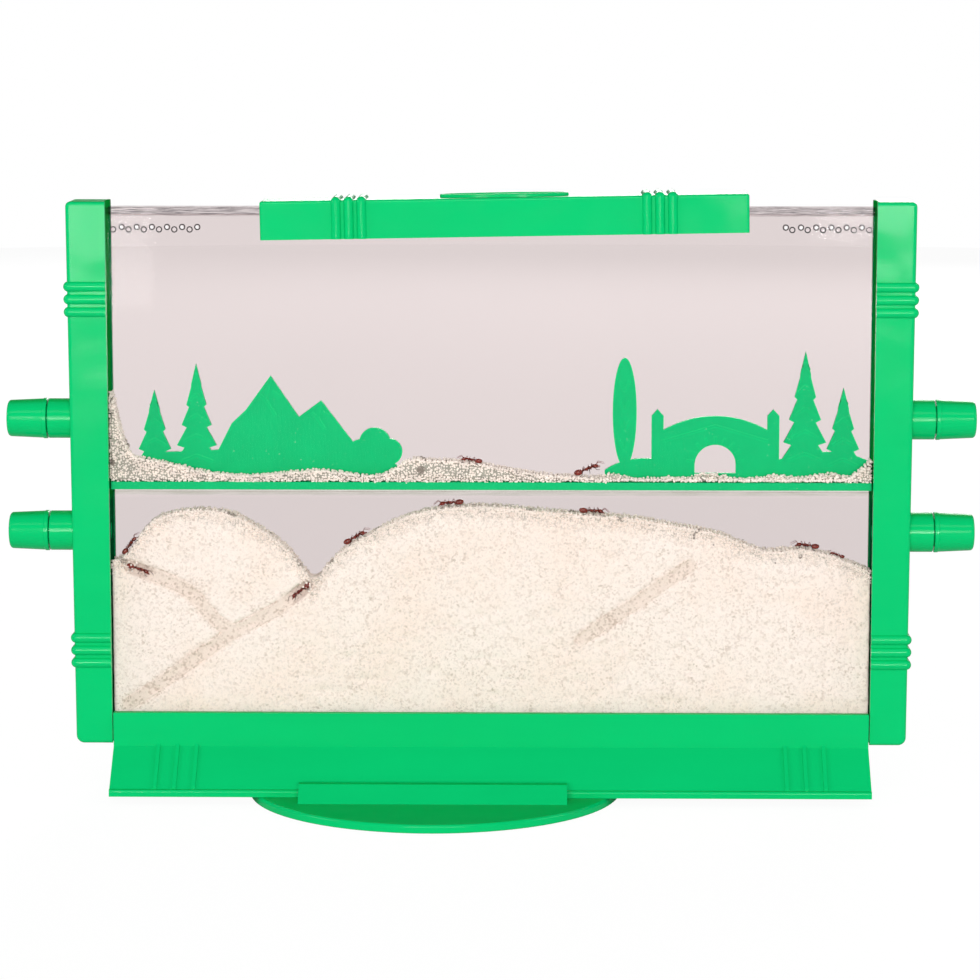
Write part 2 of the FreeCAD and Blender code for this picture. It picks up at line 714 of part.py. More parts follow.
def arc_about(x, radius, from_angle, to_angle):
    """Arc in the XZ plane about a point on the X axis."""
    angles = (from_angle, (from_angle + to_angle) / 2, to_angle)
    points = [V(x + radius * math.cos(turn), 0, radius * math.sin(turn)) for turn in angles]
    return Part.Arc(points[0], points[1], points[2]).toShape()


def ant(scale):
    """Ant's body facing +X: abdomen, thorax and head on thin waists."""
    length = ant_length * scale
    waist = 0.03 * length
    lobes = ((-0.51, -0.12, ant_girth), (-0.06, 0.22, 0.078), (0.27, 0.49, 0.1))
    edges = []
    last = None
    for x0, x1, share in lobes:
        radius = share * length
        rear = x0 * length + radius
        front = x1 * length - radius
        neck = math.asin(waist / radius)
        from_angle = math.pi if last is None else math.pi - neck
        to_angle = 0 if x1 == lobes[-1][1] else neck
        rear_arc = arc_about(rear, radius, from_angle, math.pi / 2)
        front_arc = arc_about(front, radius, math.pi / 2, to_angle)
        if last is not None:
            edges.append(Part.makeLine(last, V(rear + radius * math.cos(from_angle), 0, waist)))
        edges.append(rear_arc)
        edges.append(Part.makeLine(V(rear, 0, radius), V(front, 0, radius)))
        edges.append(front_arc)
        last = V(front + radius * math.cos(to_angle), 0, waist)
    tail = V(lobes[0][0] * length, 0, 0)
    nose = V(lobes[-1][1] * length, 0, 0)
    edges.append(Part.makeLine(nose, tail))
    outline = Part.Wire(Part.__sortEdges__(edges))
    return Part.Face(outline).revolve(CENTRE, X_AXIS, 360)


def curve_at(curve, x):
    """Height and slope in degrees of a curve at x, found by halving its range."""
    low = curve.FirstParameter
    high = curve.LastParameter
    for _ in range(40):
        middle = (low + high) / 2
        if curve.value(middle).x < x:
            low = middle
        else:
            high = middle
    direction = curve.tangent(low)[0]
    return curve.value(low).z, math.degrees(math.atan2(direction.z, direction.x))


def ant_on(curve, share_x, pitch, scale, y):
    """Ant that stands on a sand surface; a pitch past 90 degrees faces it left."""
    x = share_x * sand_half_width
    z, slope = curve_at(curve, x)
    body = ant(scale)
    body.rotate(CENTRE, Y_AXIS, -(slope + pitch))
    tilt = math.radians(slope)
    lean = abs(math.sin(math.radians(pitch)))
    lift = ant_belly_gap + ant_length * scale * (ant_girth + 0.4 * lean)
    return body.translated(V(x - lift * math.sin(tilt), y, z + lift * math.cos(tilt)))


def ant_in_tunnel(route, index, share, scale):
    """Ant that lies along one run of a tunnel."""
    start = tunnel_point(*route[index])
    end = tunnel_point(*route[index + 1])
    run = end - start
    body = ant(scale)
    body.rotate(CENTRE, Y_AXIS, -math.degrees(math.atan2(run.z, run.x)))
    place = start + run * share
    place.y = -chamber_half + ant_panel_gap + ant_girth * ant_length * scale
    return body.translated(place)


def ants():
    """The ants that show through the front panel."""
    lower = lower_curve()
    upper = upper_curve(upper_surface)
    return Part.makeCompound([
        ant_on(lower, -0.104, 180, 1.0, -1.5),
        ant_on(lower, 0.266, 0, 1.0, -2.4),
        ant_on(lower, -0.352, 0, 1.0, -2.2),
        ant_on(lower, -0.945, 0, 0.9, -2.4),
        ant_on(lower, 0.832, 180, 0.95, -2.2),
        ant_on(lower, 0.91, 180, 0.6, -2.4),
        ant_on(upper, -0.052, 180, 0.85, -1.8),
        ant_on(upper, 0.252, 24, 1.05, -2.2),
        ant_in_tunnel(side_tunnel, 0, 0.36, 0.95),
        ant_in_tunnel(main_tunnel, 0, 0.42, 0.95),
    ])


def build():
    """All nodes of the assembly by name."""
    right_frame = side_frame()
    panel = clear_panel(vent_margin_front)
    back = clear_panel(vent_margin_back)
    nodes = {
        "left_frame": right_frame.mirror(CENTRE, X_AXIS),
        "right_frame": right_frame,
        "front_panel": panel,
        "back_panel": back.mirror(CENTRE, Y_AXIS),
        "base": base(),
        "stand": stand(),
        "lid": lid(),
        "ledge": ledge(),
        "scenery_left": scenery_left(),
        "scenery_right": scenery_right(),
        "sand_bed": sand_bed(),
        "upper_sand": upper_sand(),
        "ants": ants(),
    }
    for name, z in (("upper", upper_port_z), ("lower", lower_port_z)):
        cap = port_cap(z)
        nodes["right_" + name + "_cap"] = cap
        nodes["left_" + name + "_cap"] = cap.mirror(CENTRE, X_AXIS)
    return nodes


os.makedirs("parts", exist_ok=True)
for node, shape in build().items():
    if not shape.isValid():
        raise ValueError("The solid of " + node + " is not valid")
    shape.exportStep("parts/" + node + ".step")
    print(node, len(shape.Solids), "solids", round(shape.Volume, 1), "cubic mm")
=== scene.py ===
import math
import random

import bmesh
import bpy
from mathutils import Matrix, Vector, noise
from mathutils.bvhtree import BVHTree


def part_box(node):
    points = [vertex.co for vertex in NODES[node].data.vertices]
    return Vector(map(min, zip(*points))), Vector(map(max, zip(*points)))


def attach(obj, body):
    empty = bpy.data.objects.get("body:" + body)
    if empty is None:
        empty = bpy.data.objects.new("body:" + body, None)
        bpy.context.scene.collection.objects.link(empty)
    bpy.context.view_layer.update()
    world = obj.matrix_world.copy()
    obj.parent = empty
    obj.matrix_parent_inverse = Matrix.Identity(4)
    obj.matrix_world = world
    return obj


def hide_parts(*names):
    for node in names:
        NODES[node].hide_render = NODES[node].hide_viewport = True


bl_info = {
    "name": "Ant habitat looks",
    "version": (1, 0, 0),
    "blender": (4, 5, 0),
    "location": "View3D > Sidebar > Habitat",
    "description": "Dresses the packed ant habitat: moulded green plastic, clear panels, sand and ants",
    "category": "Object",
}

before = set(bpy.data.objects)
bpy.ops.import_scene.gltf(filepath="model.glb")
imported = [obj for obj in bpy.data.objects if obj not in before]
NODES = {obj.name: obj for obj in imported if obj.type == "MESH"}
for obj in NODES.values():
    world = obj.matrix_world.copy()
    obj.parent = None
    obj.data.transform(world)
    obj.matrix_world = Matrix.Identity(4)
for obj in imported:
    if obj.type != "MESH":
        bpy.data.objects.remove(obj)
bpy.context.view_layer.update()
MM = 0.001
TURN = 2 * math.pi
GREEN_NODES = ("left_frame", "right_frame", "base", "stand", "lid", "left_upper_cap",
               "left_lower_cap", "right_upper_cap", "right_lower_cap")
SCENERY_NODES = ("ledge", "scenery_left", "scenery_right")
WALL_X = (114.0, 115.1)        # mm, from the middle to the frames' walls inside the window
WALL_Y = 6.0                   # mm, half the depth of those walls
FLANGE_Z = (175.1, 175.7)      # mm, where the panels' top flange begins
SHELF_Z = (91.5, 93.2)         # mm, the shelf rib under the ledge
VENT_COUNT = 6                 # vent holes at each end of a panel
VENT_PITCH = 4.55 * MM         # from one hole to the next
VENT_DROP = 6.4 * MM           # from the panel's top to the holes
VENT_BEAD = 0.16 * MM          # radius of the bead round a hole
DEEPEST = 4 * MM               # a ray that goes deeper has missed the sand's front
FULLY_DUG = 1.5 * MM           # depth of a groove that counts as fully dug
SPARE_REACH = 6.5 * MM         # how far round an ant a groove keeps its depth
CREST = 1.2 * MM               # how far under the surface the recess reaches its full depth
# piles of grains on the ledge: place and spread as shares of its length, grains, height in mm
CRUMB_PILES = ((0.66, 0.035, 110, 2.2), (0.735, 0.02, 50, 1.3), (0.785, 0.05, 230, 2.3),
               (0.875, 0.055, 230, 1.7), (0.94, 0.05, 260, 2.4))
TOP_SHADE_TINT = (1.0, 0.87, 0.62, 1.0)   # painted shade on the green's faces that look up
DUST = (0.75, 0.85, 0.78, 1.0)      # dust on the silhouettes
WARMTH = (1.0, 0.955, 0.925)        # of the warmer clouds in the packed sand
GRIT = (0.56, 0.44, 0.36, 1.0)      # light brown grains in the packed sand
DARK_GRIT = (0.5, 0.41, 0.33, 1.0)  # darker ones


class Value:
    """A shader socket that can be used in Python expressions."""

    def __init__(self, nodes, socket):
        self.nodes = nodes
        self.socket = socket

    def math(self, operation, first, second):
        return self.nodes.node("ShaderNodeMath", {"operation": operation}, {0: first, 1: second})

    def __add__(self, other):
        return self.math("ADD", self, other)

    def __radd__(self, other):
        return self.math("ADD", other, self)

    def __sub__(self, other):
        return self.math("SUBTRACT", self, other)

    def __rsub__(self, other):
        return self.math("SUBTRACT", other, self)

    def __mul__(self, other):
        return self.math("MULTIPLY", self, other)

    def __rmul__(self, other):
        return self.math("MULTIPLY", other, self)

    def __gt__(self, other):
        return self.math("GREATER_THAN", self, other)

    def __lt__(self, other):
        return self.math("LESS_THAN", self, other)


class Nodes:
    """A shader tree, built node by node."""

    def __init__(self, owner):
        owner.use_nodes = True
        self.tree = owner.node_tree
        self.tree.nodes.clear()

    def node(self, kind, settings=None, inputs=None, output=0):
        """Adds a node: its settings first, then the values or links of its sockets.

        Gives one output, a list of outputs for a tuple of names, or None for an end node.
        """
        made = self.tree.nodes.new(kind)
        for key, setting in (settings or {}).items():
            if key == "stops":
                ramp = made.color_ramp
                ramp.elements[0].position, ramp.elements[0].color = setting[0]
                ramp.elements[1].position, ramp.elements[1].color = setting[-1]
                for position, colour in setting[1:-1]:
                    ramp.elements.new(position).color = colour
            else:
                setattr(made, key, setting)
        for key, value in (inputs or {}).items():
            if isinstance(value, Value):
                self.tree.links.new(value.socket, made.inputs[key])
            else:
                made.inputs[key].default_value = value
        if output is None:
            return None
        if isinstance(output, tuple):
            return [Value(self, made.outputs[name]) for name in output]
        return Value(self, made.outputs[output])


class Finish(Nodes):
    """One material."""

    def __init__(self, name):
        self.material = bpy.data.materials.new(name)
        super().__init__(self.material)

    def place(self):
        """Object coordinates in millimetres."""
        coordinates = self.node("ShaderNodeTexCoord", output="Object")
        return self.node("ShaderNodeVectorMath", {"operation": "SCALE"},
                         {0: coordinates, "Scale": 1 / MM})

    def axes(self, place):
        """The three parts of a vector."""
        return self.node("ShaderNodeSeparateXYZ", {}, {0: place}, ("X", "Y", "Z"))

    def stretched(self, place, scale):
        """A vector with each part multiplied by its own factor."""
        return self.node("ShaderNodeVectorMath", {"operation": "MULTIPLY"}, {0: place, 1: scale})

    def noise(self, place, scale, detail=2.0, roughness=0.5):
        """Soft noise from 0 to 1; scale is in cells per millimetre."""
        return self.node("ShaderNodeTexNoise", {}, {"Vector": place, "Scale": scale,
                         "Detail": detail, "Roughness": roughness}, "Fac")

    def cells(self, place, scale, feature="F1", output="Distance"):
        """Voronoi cells; scale is in cells per millimetre."""
        return self.node("ShaderNodeTexVoronoi", {"feature": feature},
                         {"Vector": place, "Scale": scale}, output)

    def tones(self, place, scale):
        """Two random tones from 0 to 1 for each cell."""
        return self.node("ShaderNodeSeparateColor", {},
                         {0: self.cells(place, scale, output="Color")}, ("Red", "Green"))

    def ramp(self, factor, stops):
        """Ramp with (position, tone) stops."""
        stops = [(position, (tone, tone, tone, 1.0)) for position, tone in stops]
        return self.node("ShaderNodeValToRGB", {"stops": stops}, {"Fac": factor}, "Color")

    def step(self, value, low, high):
        """Smooth step from 0 at low to 1 at high."""
        return self.node("ShaderNodeMapRange", {"interpolation_type": "SMOOTHSTEP"},
                         {"Value": value, "From Min": low, "From Max": high})

    def mix(self, factor, first, second, blend="MIX"):
        """Blend of two colours."""
        return self.node("ShaderNodeMix", {"data_type": "RGBA", "blend_type": blend},
                         {0: factor, 6: first, 7: second}, 2)

    def bump(self, height, distance, strength=1.0, normal=None):
        """Bump of a height field; distance is in millimetres."""
        inputs = {"Height": height, "Distance": distance * MM, "Strength": strength}
        if normal is not None:
            inputs["Normal"] = normal
        return self.node("ShaderNodeBump", {}, inputs, "Normal")

    def principled(self, inputs):
        """Principled shader with the given sockets."""
        return self.node("ShaderNodeBsdfPrincipled", {}, inputs, "BSDF")

    def clear(self, tint):
        """Shader that lets a tint of the light through."""
        return self.node("ShaderNodeBsdfTransparent", {}, {"Color": four(tint)}, "BSDF")

    def blended(self, factor, first, second):
        """Blend of two shaders."""
        return self.node("ShaderNodeMixShader", {}, {0: factor, 1: first, 2: second}, "Shader")

    def surface(self, shader):
        """Ends the material with a shader and returns it."""
        self.node("ShaderNodeOutputMaterial", {}, {"Surface": shader}, None)
        return self.material


class MouldedSettings(bpy.types.PropertyGroup):
    """Green moulded plastic."""

    green: bpy.props.FloatVectorProperty(
        name="Frame green", description="Colour of the frames, base, lid, stand and caps",
        subtype="COLOR", size=3, default=(0.001, 0.505, 0.146))
    scenery_green: bpy.props.FloatVectorProperty(
        name="Scenery green", description="Colour of the ledge and the silhouettes",
        subtype="COLOR", size=3, default=(0.001, 0.50, 0.165))
    rim_width: bpy.props.FloatProperty(
        name="Rim width", description="Width of the raised border of a silhouette",
        default=0.3 * MM, unit="LENGTH", subtype="DISTANCE")
    rim_proud: bpy.props.FloatProperty(
        name="Rim height", description="Height of the raised border of a silhouette",
        default=0.12 * MM, unit="LENGTH", subtype="DISTANCE")
    gloss: bpy.props.FloatProperty(
        name="Roughness", description="Roughness of the moulded faces",
        default=0.1, min=0.0, max=1.0, subtype="FACTOR")


class PanelSettings(bpy.types.PropertyGroup):
    """Clear panels."""

    front_tint: bpy.props.FloatVectorProperty(
        name="Front tint", description="What one face of the front panel lets through",
        subtype="COLOR", size=3, default=(0.99, 0.985, 0.985))
    back_tint: bpy.props.FloatVectorProperty(
        name="Back tint", description="What one face of the back panel lets through",
        subtype="COLOR", size=3, default=(0.886, 0.840, 0.837))
    rim_size: bpy.props.FloatProperty(
        name="Vent rim", description="Outer radius of the rim round a vent hole",
        default=0.95 * MM, unit="LENGTH", subtype="DISTANCE")


class SandSettings(bpy.types.PropertyGroup):
    """Sand."""

    pale: bpy.props.FloatVectorProperty(
        name="Pale grain", description="Colour of most grains",
        subtype="COLOR", size=3, default=(0.99, 0.885, 0.805))
    dark: bpy.props.FloatVectorProperty(
        name="Dark grain", description="Colour of the few dark grains",
        subtype="COLOR", size=3, default=(0.22, 0.18, 0.15))
    tan: bpy.props.FloatVectorProperty(
        name="Tunnel tan", description="Colour of the sand where the ants have dug",
        subtype="COLOR", size=3, default=(0.84, 0.70, 0.60))
    # painted shade: the dark colour of the seams between the grains near the surface
    gap: bpy.props.FloatVectorProperty(
        name="Gaps", description="Colour between the grains near the surface",
        subtype="COLOR", size=3, default=(0.34, 0.32, 0.27))
    # painted shade: the dark colour seen between the grains on the ledge
    core: bpy.props.FloatVectorProperty(
        name="Ledge core", description="Colour between the grains on the ledge",
        subtype="COLOR", size=3, default=(0.40, 0.38, 0.32))
    grain: bpy.props.FloatProperty(
        name="Grain size", description="Radius of a loose grain",
        default=0.42 * MM, unit="LENGTH", subtype="DISTANCE")
    recess: bpy.props.FloatProperty(
        name="Coarse recess", description="How far the packed sand stands back behind the grains",
        default=0.72 * MM, unit="LENGTH", subtype="DISTANCE")
    coarse_depth: bpy.props.FloatProperty(
        name="Coarse depth", description="How deep the coarser sand reaches",
        default=7 * MM, unit="LENGTH", subtype="DISTANCE")
    voxel: bpy.props.FloatProperty(
        name="Body detail", description="Voxel size of the packed sand's mesh",
        default=0.68 * MM, unit="LENGTH", subtype="DISTANCE")


class AntSettings(bpy.types.PropertyGroup):
    """Ants."""

    brown: bpy.props.FloatVectorProperty(
        name="Ant brown", description="Colour of the ants' bodies",
        subtype="COLOR", size=3, default=(0.27, 0.035, 0.022))
    leg_share: bpy.props.FloatProperty(
        name="Leg thickness", description="Thickness of a leg as a share of the ant's length",
        default=0.017, min=0.0, max=0.1)


class StageSettings(bpy.types.PropertyGroup):
    """Camera, lamps and floor."""

    camera_place: bpy.props.FloatVectorProperty(
        name="Camera place", description="Where the camera stands", size=3,
        default=(15.87 * MM, -1020.56 * MM, 234.66 * MM), subtype="TRANSLATION", unit="LENGTH")
    camera_down: bpy.props.FloatProperty(
        name="Camera tilt", description="How far the camera looks down",
        default=math.radians(7.924), subtype="ANGLE", unit="ROTATION")
    camera_turn: bpy.props.FloatProperty(
        name="Camera turn", description="How far the camera turns to the left",
        default=math.radians(0.905), subtype="ANGLE", unit="ROTATION")
    lens: bpy.props.FloatProperty(
        name="Focal length", description="Focal length in millimetres on a 36 mm sensor",
        default=125.49, min=1.0)
    world_light: bpy.props.FloatProperty(
        name="World light", description="Strength of the even light from all round",
        default=0.185, min=0.0)
    mirrored_light: bpy.props.FloatProperty(
        name="Mirrored light", description="Strength of the surroundings in reflections",
        default=0.2, min=0.0)
    lamp_light: bpy.props.FloatProperty(
        name="Lamp light", description="Strength of the soft lamps",
        default=1.0, min=0.0)


def settings():
    """The settings of the current scene."""
    scene = bpy.context.scene
    return {"moulded": scene.habitat_moulded, "panel": scene.habitat_panel,
            "sand": scene.habitat_sand, "ant": scene.habitat_ant, "stage": scene.habitat_stage}


def four(colour):
    """Colour with an alpha of 1."""
    return (colour[0], colour[1], colour[2], 1.0)


def scaled(colour, factor):
    """Colour made lighter or darker."""
    return tuple(part * factor for part in colour[:3])


def new_piece(name, mesh, material):
    """Object of a mesh, with its material, riding on the habitat."""
    piece = bpy.data.objects.new(name, mesh)
    bpy.context.scene.collection.objects.link(piece)
    mesh.materials.clear()
    mesh.materials.append(material)
    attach(piece, "habitat")
    return piece


def mesh_of(shape, name, smooth=True):
    """Mesh of a bmesh, with outward normals."""
    bmesh.ops.recalc_face_normals(shape, faces=shape.faces)
    mesh = bpy.data.meshes.new(name)
    shape.to_mesh(mesh)
    shape.free()
    for polygon in mesh.polygons:
        polygon.use_smooth = smooth
    return mesh


def dress(node, material):
    """Gives a CAD node a material in every slot."""
    mesh = NODES[node].data
    if not mesh.materials:
        mesh.materials.append(material)
    for i in range(len(mesh.materials)):
        mesh.materials[i] = material


def moulded_finish(name, colour, roughness):
    """Glossy moulded plastic with flow marks, fine scuffs and a faint ripple.

    Faces that look up are duller and get painted shade, a darker yellower green. The walls inside the
    window are duller too and painted in shade, a dark green that is darker still below the ledge.
    """
    finish = Finish(name)
    place = finish.place()
    cloud = finish.noise(place, 0.035, 2.0)
    flow = finish.noise(finish.stretched(place, (0.02, 0.05, 0.25)), 1.0, 3.0)
    shade = finish.mix(cloud * 0.5 + flow * 0.35, four(scaled(colour, 1.06)),
                       four(scaled(colour, 0.9)))
    scuffs = finish.noise(finish.stretched(place, (0.25, 0.25, 6.0)), 1.0, 2.0)
    patches = finish.step(finish.noise(place, 0.09, 3.0), 0.5, 0.72)
    rough = roughness + cloud * 0.05 + finish.step(scuffs, 0.55, 0.8) * patches * 0.16
    ripple = finish.bump(finish.noise(place, 0.06, 1.0), 0.35)
    peel = finish.bump(finish.noise(place, 1.6, 2.0), 0.006, normal=ripple)
    glossy = finish.principled({
        "Base Color": shade, "Roughness": rough, "Normal": peel, "Specular IOR Level": 0.09})
    # painted shade: faces that look up get a darker, yellower copy of the green and less gloss
    upward = finish.axes(finish.node("ShaderNodeNewGeometry", output="Normal"))[2]
    painted_top_shade = finish.mix(1.0, shade, TOP_SHADE_TINT, "MULTIPLY")
    shaded_top_face = finish.principled({"Base Color": painted_top_shade, "Roughness": 0.3, "Normal": peel,
                                  "Specular IOR Level": 0.02})
    plastic = finish.blended(finish.step(upward, 0.8, 0.95), glossy, shaded_top_face)
    along, across, up = finish.axes(place)
    aside = along * along
    wall = finish.step(aside, (WALL_X[0] - 0.1) ** 2, WALL_X[0] ** 2) * (aside < WALL_X[1] ** 2)
    wall = wall * (across * across < WALL_Y ** 2)
    # painted shade: the walls inside the window are dark green, darker still below the ledge
    deep = finish.mix(finish.step(up, 88.0, 93.0), four(scaled(colour, 0.2)),
                      (colour[0], colour[1] * 0.55, colour[2] * 0.2, 1))
    painted_wall_shade = finish.principled({"Base Color": deep, "Roughness": 0.9, "Specular IOR Level": 0.0})
    return finish.surface(finish.blended(wall, plastic, painted_wall_shade))


def scenery_finish(name, colour, roughness):
    """Thin moulded silhouettes: softer gloss with fine tool marks and white dust specks."""
    finish = Finish(name)
    place = finish.place()
    cloud = finish.noise(place, 0.12, 3.0)
    marks = finish.noise(finish.stretched(place, (1.6, 1.6, 0.35)), 1.0, 3.0, 0.6)
    shade = finish.mix(cloud * 0.6 + marks * 0.4, four(scaled(colour, 1.12)),
                       four(scaled(colour, 0.84)))
    crumbs = finish.step(finish.noise(place, 0.35, 2.0), 0.56, 0.7)
    dust = (1.0 - finish.step(finish.cells(place, 0.85), 0.06, 0.16)) * crumbs
    shade = finish.mix(dust * 0.5, shade, DUST)
    rough = roughness + marks * 0.18 + dust * 0.3
    grain = finish.bump(marks, 0.05)
    return finish.surface(finish.principled({
        "Base Color": shade, "Roughness": rough, "Normal": grain, "Specular IOR Level": 0.07}))


class HABITAT_OT_moulded_parts(bpy.types.Operator):
    """Gives the green parts their moulded finish, with painted shade on faces that look up and on the
    walls inside the window, and the silhouettes a raised border painted lighter as a highlight.
    """

    bl_idname = "habitat.moulded_parts"
    bl_label = "Moulded parts"

    def execute(self, context):
        moulded = settings()["moulded"]
        green = moulded_finish("moulded_green", moulded.green, moulded.gloss)
        for node in GREEN_NODES:
            dress(node, green)
        scenery = scenery_finish("scenery_green", moulded.scenery_green, moulded.gloss + 0.2)
        for node in SCENERY_NODES:
            dress(node, scenery)
        # painted highlight: the raised border is a lighter copy of the silhouette green
        rim = scenery_finish("scenery_rim_highlight", scaled(moulded.scenery_green, 1.22),
                             moulded.gloss + 0.1)
        for node in ("scenery_left", "scenery_right"):
            piece = outline_rim(node, moulded.rim_width, moulded.rim_proud, rim)
        return {"FINISHED"}


def outline_rim(node, width, proud, material):
    """Thin raised border along the outline of a silhouette's front face."""
    shape = bmesh.new()
    shape.from_mesh(NODES[node].data)
    bmesh.ops.remove_doubles(shape, verts=shape.verts, dist=0.002 * MM)
    faces = {}
    for face in shape.faces:
        if face.normal.y < -0.999:
            faces.setdefault(round(face.calc_center_median().y / MM, 1), []).append(face)
    front = max(faces.values(), key=lambda group: sum(face.calc_area() for face in group))
    keep = set(front)
    bmesh.ops.delete(shape, geom=[f for f in shape.faces if f not in keep], context="FACES")
    bmesh.ops.dissolve_limit(shape, angle_limit=0.02, verts=shape.verts, edges=shape.edges)
    ring = bmesh.ops.inset_region(shape, faces=shape.faces[:], thickness=width, depth=0.0,
                                  use_boundary=True, use_even_offset=False)["faces"]
    keep = set(ring)
    bmesh.ops.delete(shape, geom=[f for f in shape.faces if f not in keep], context="FACES")
    made = bmesh.ops.extrude_face_region(shape, geom=shape.faces[:])["geom"]
    bmesh.ops.translate(shape, vec=(0, -proud, 0),
                        verts=[v for v in made if isinstance(v, bmesh.types.BMVert)])
    name = node + "_rim"
    return new_piece(name, mesh_of(shape, name, smooth=False), material)


def panel_finish(name, tint, streaks):
    """Clear sheet: tinted, faintly smeared, with a moulded edge along the top in streaks of painted
    shade and painted highlight, painted shade on the shelf rib and a little painted shade below it.

    The strength of the marks is given by streaks, from 0 to 1.
    """
    finish = Finish(name)
    place = finish.place()
    up = finish.axes(place)[2]
    smear = finish.noise(finish.stretched(place, (0.012, 0.05, 0.016)), 1.0, 3.0)
    sheet = finish.blended(smear * 0.5, finish.clear(tint), finish.clear(scaled(tint, 0.97)))
    # painted shade and painted highlight: grey and white streaks on the clear top flange
    flange = finish.step(up, *FLANGE_Z)
    lines = finish.noise(finish.stretched(place, (0.12, 2.0, 3.2)), 1.0, 4.0, 0.7)
    flange_shade_streaks = finish.blended(finish.ramp(lines, [(0.32, 0.0), (0.48, 0.715), (0.6, 1.0)]),
                             finish.clear((0.36, 0.35, 0.36)), finish.clear((1.0, 0.98, 0.98)))
    sheet = finish.blended(flange * streaks, sheet, flange_shade_streaks)
    # painted shade: the clear shelf rib is clouded green-grey
    shelf = (finish.step(up, SHELF_Z[0], SHELF_Z[0] + 0.3)
             * (1.0 - finish.step(up, SHELF_Z[1] - 0.3, SHELF_Z[1])))
    cloudy = finish.noise(finish.stretched(place, (0.06, 1.0, 0.9)), 1.0, 3.0, 0.7)
    shelf_painted_shade = finish.blended(finish.ramp(cloudy, [(0.35, 0.0), (0.65, 1.0)]),
                         finish.clear((0.8, 0.84, 0.78)), finish.clear((0.96, 0.97, 0.95)))
    sheet = finish.blended(shelf * streaks * 0.8, sheet, shelf_painted_shade)
    # painted shade: below the shelf rib the sheet lets a little less through, darker under the ledge
    low = 1.0 - finish.step(up, SHELF_Z[0] - 1.0, SHELF_Z[0] + 0.5)
    sheet = finish.blended(low * streaks, sheet, finish.clear(scaled(tint, 0.97)))
    wipe = finish.noise(finish.stretched(place, (0.2, 1.0, 0.03)), 1.0, 2.0)
    gloss = finish.principled({"Base Color": (0.9, 0.88, 0.88, 1), "Roughness": 0.04,
                               "Metallic": 1.0})
    shine = finish.node("ShaderNodeFresnel", {}, {"IOR": 1.45})
    glare = shine * 0.025 + finish.step(wipe, 0.62, 0.9) * 0.004
    return finish.surface(finish.blended(glare, sheet, gloss))


def vent_rims(name, y, margin, outer, material):
    """Small raised rims round one panel's vent holes."""
    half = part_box("ledge")[1].x + 0.2 * MM
    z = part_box("front_panel")[1].z - VENT_DROP
    shape = bmesh.new()
    for side in (-1, 1):
        for i in range(VENT_COUNT):
            x = side * (half - margin - VENT_PITCH * i)
            ring = bmesh.ops.create_circle(shape, segments=8, radius=VENT_BEAD)["verts"]
            bmesh.ops.rotate(shape, verts=ring, cent=(0, 0, 0),
                             matrix=Matrix.Rotation(math.pi / 2, 3, "X"))
            bmesh.ops.translate(shape, verts=ring, vec=(x + outer - VENT_BEAD, y, z))
            edges = list(dict.fromkeys(edge for vertex in ring for edge in vertex.link_edges))
            bmesh.ops.spin(shape, geom=ring + edges, cent=(x, y, z), axis=(0, 1, 0),
                           dvec=(0, 0, 0), angle=TURN, steps=18, use_merge=True)
    return new_piece(name, mesh_of(shape, name), material)


class HABITAT_OT_panels(bpy.types.Operator):
    """Makes the panels clear and adds the rims of their vent holes."""

    bl_idname = "habitat.panels"
    bl_label = "Clear panels"

    def execute(self, context):
        panel = settings()["panel"]
        dress("front_panel", panel_finish("clear_front", panel.front_tint, 1.0))
        dress("back_panel", panel_finish("clear_back", panel.back_tint, 0.6))
        finish = Finish("vent_rim")
        place = finish.place()
        haze = finish.noise(place, 0.8, 2.0)
        rim = finish.surface(finish.principled({
            "Base Color": finish.mix(haze, (0.95, 0.93, 0.93, 1), (0.8, 0.78, 0.78, 1)),
            "Roughness": 0.08, "Transmission Weight": 0.92, "IOR": 1.2}))
        front_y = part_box("front_panel")[0].y
        back_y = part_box("back_panel")[1].y
        for name, y, margin in (("vent_rims_front", front_y + 0.05 * MM, 2.3 * MM),
                                ("vent_rims_back", back_y - 0.05 * MM, 3.4 * MM)):
            piece = vent_rims(name, y, margin, panel.rim_size, rim)
        return {"FINISHED"}


def grain_finish(name, pale, dark, contrast, specks):
    """Loose grains: each of its own tone, a few of them dark."""
    finish = Finish(name)
    place = finish.place()
    grey, pick = finish.tones(place, 0.45)
    shade = finish.mix(grey * contrast, four(pale), four(scaled(pale, 0.6)))
    shade = finish.mix((pick > 1.0 - specks) * 0.8, shade, four(dark))
    pits = finish.bump(finish.noise(place, 3.0, 2.0), 0.05)
    return finish.surface(finish.principled({
        "Base Color": shade, "Roughness": 0.8 - grey * 0.2, "Normal": pits,
        "Specular IOR Level": 0.15}))


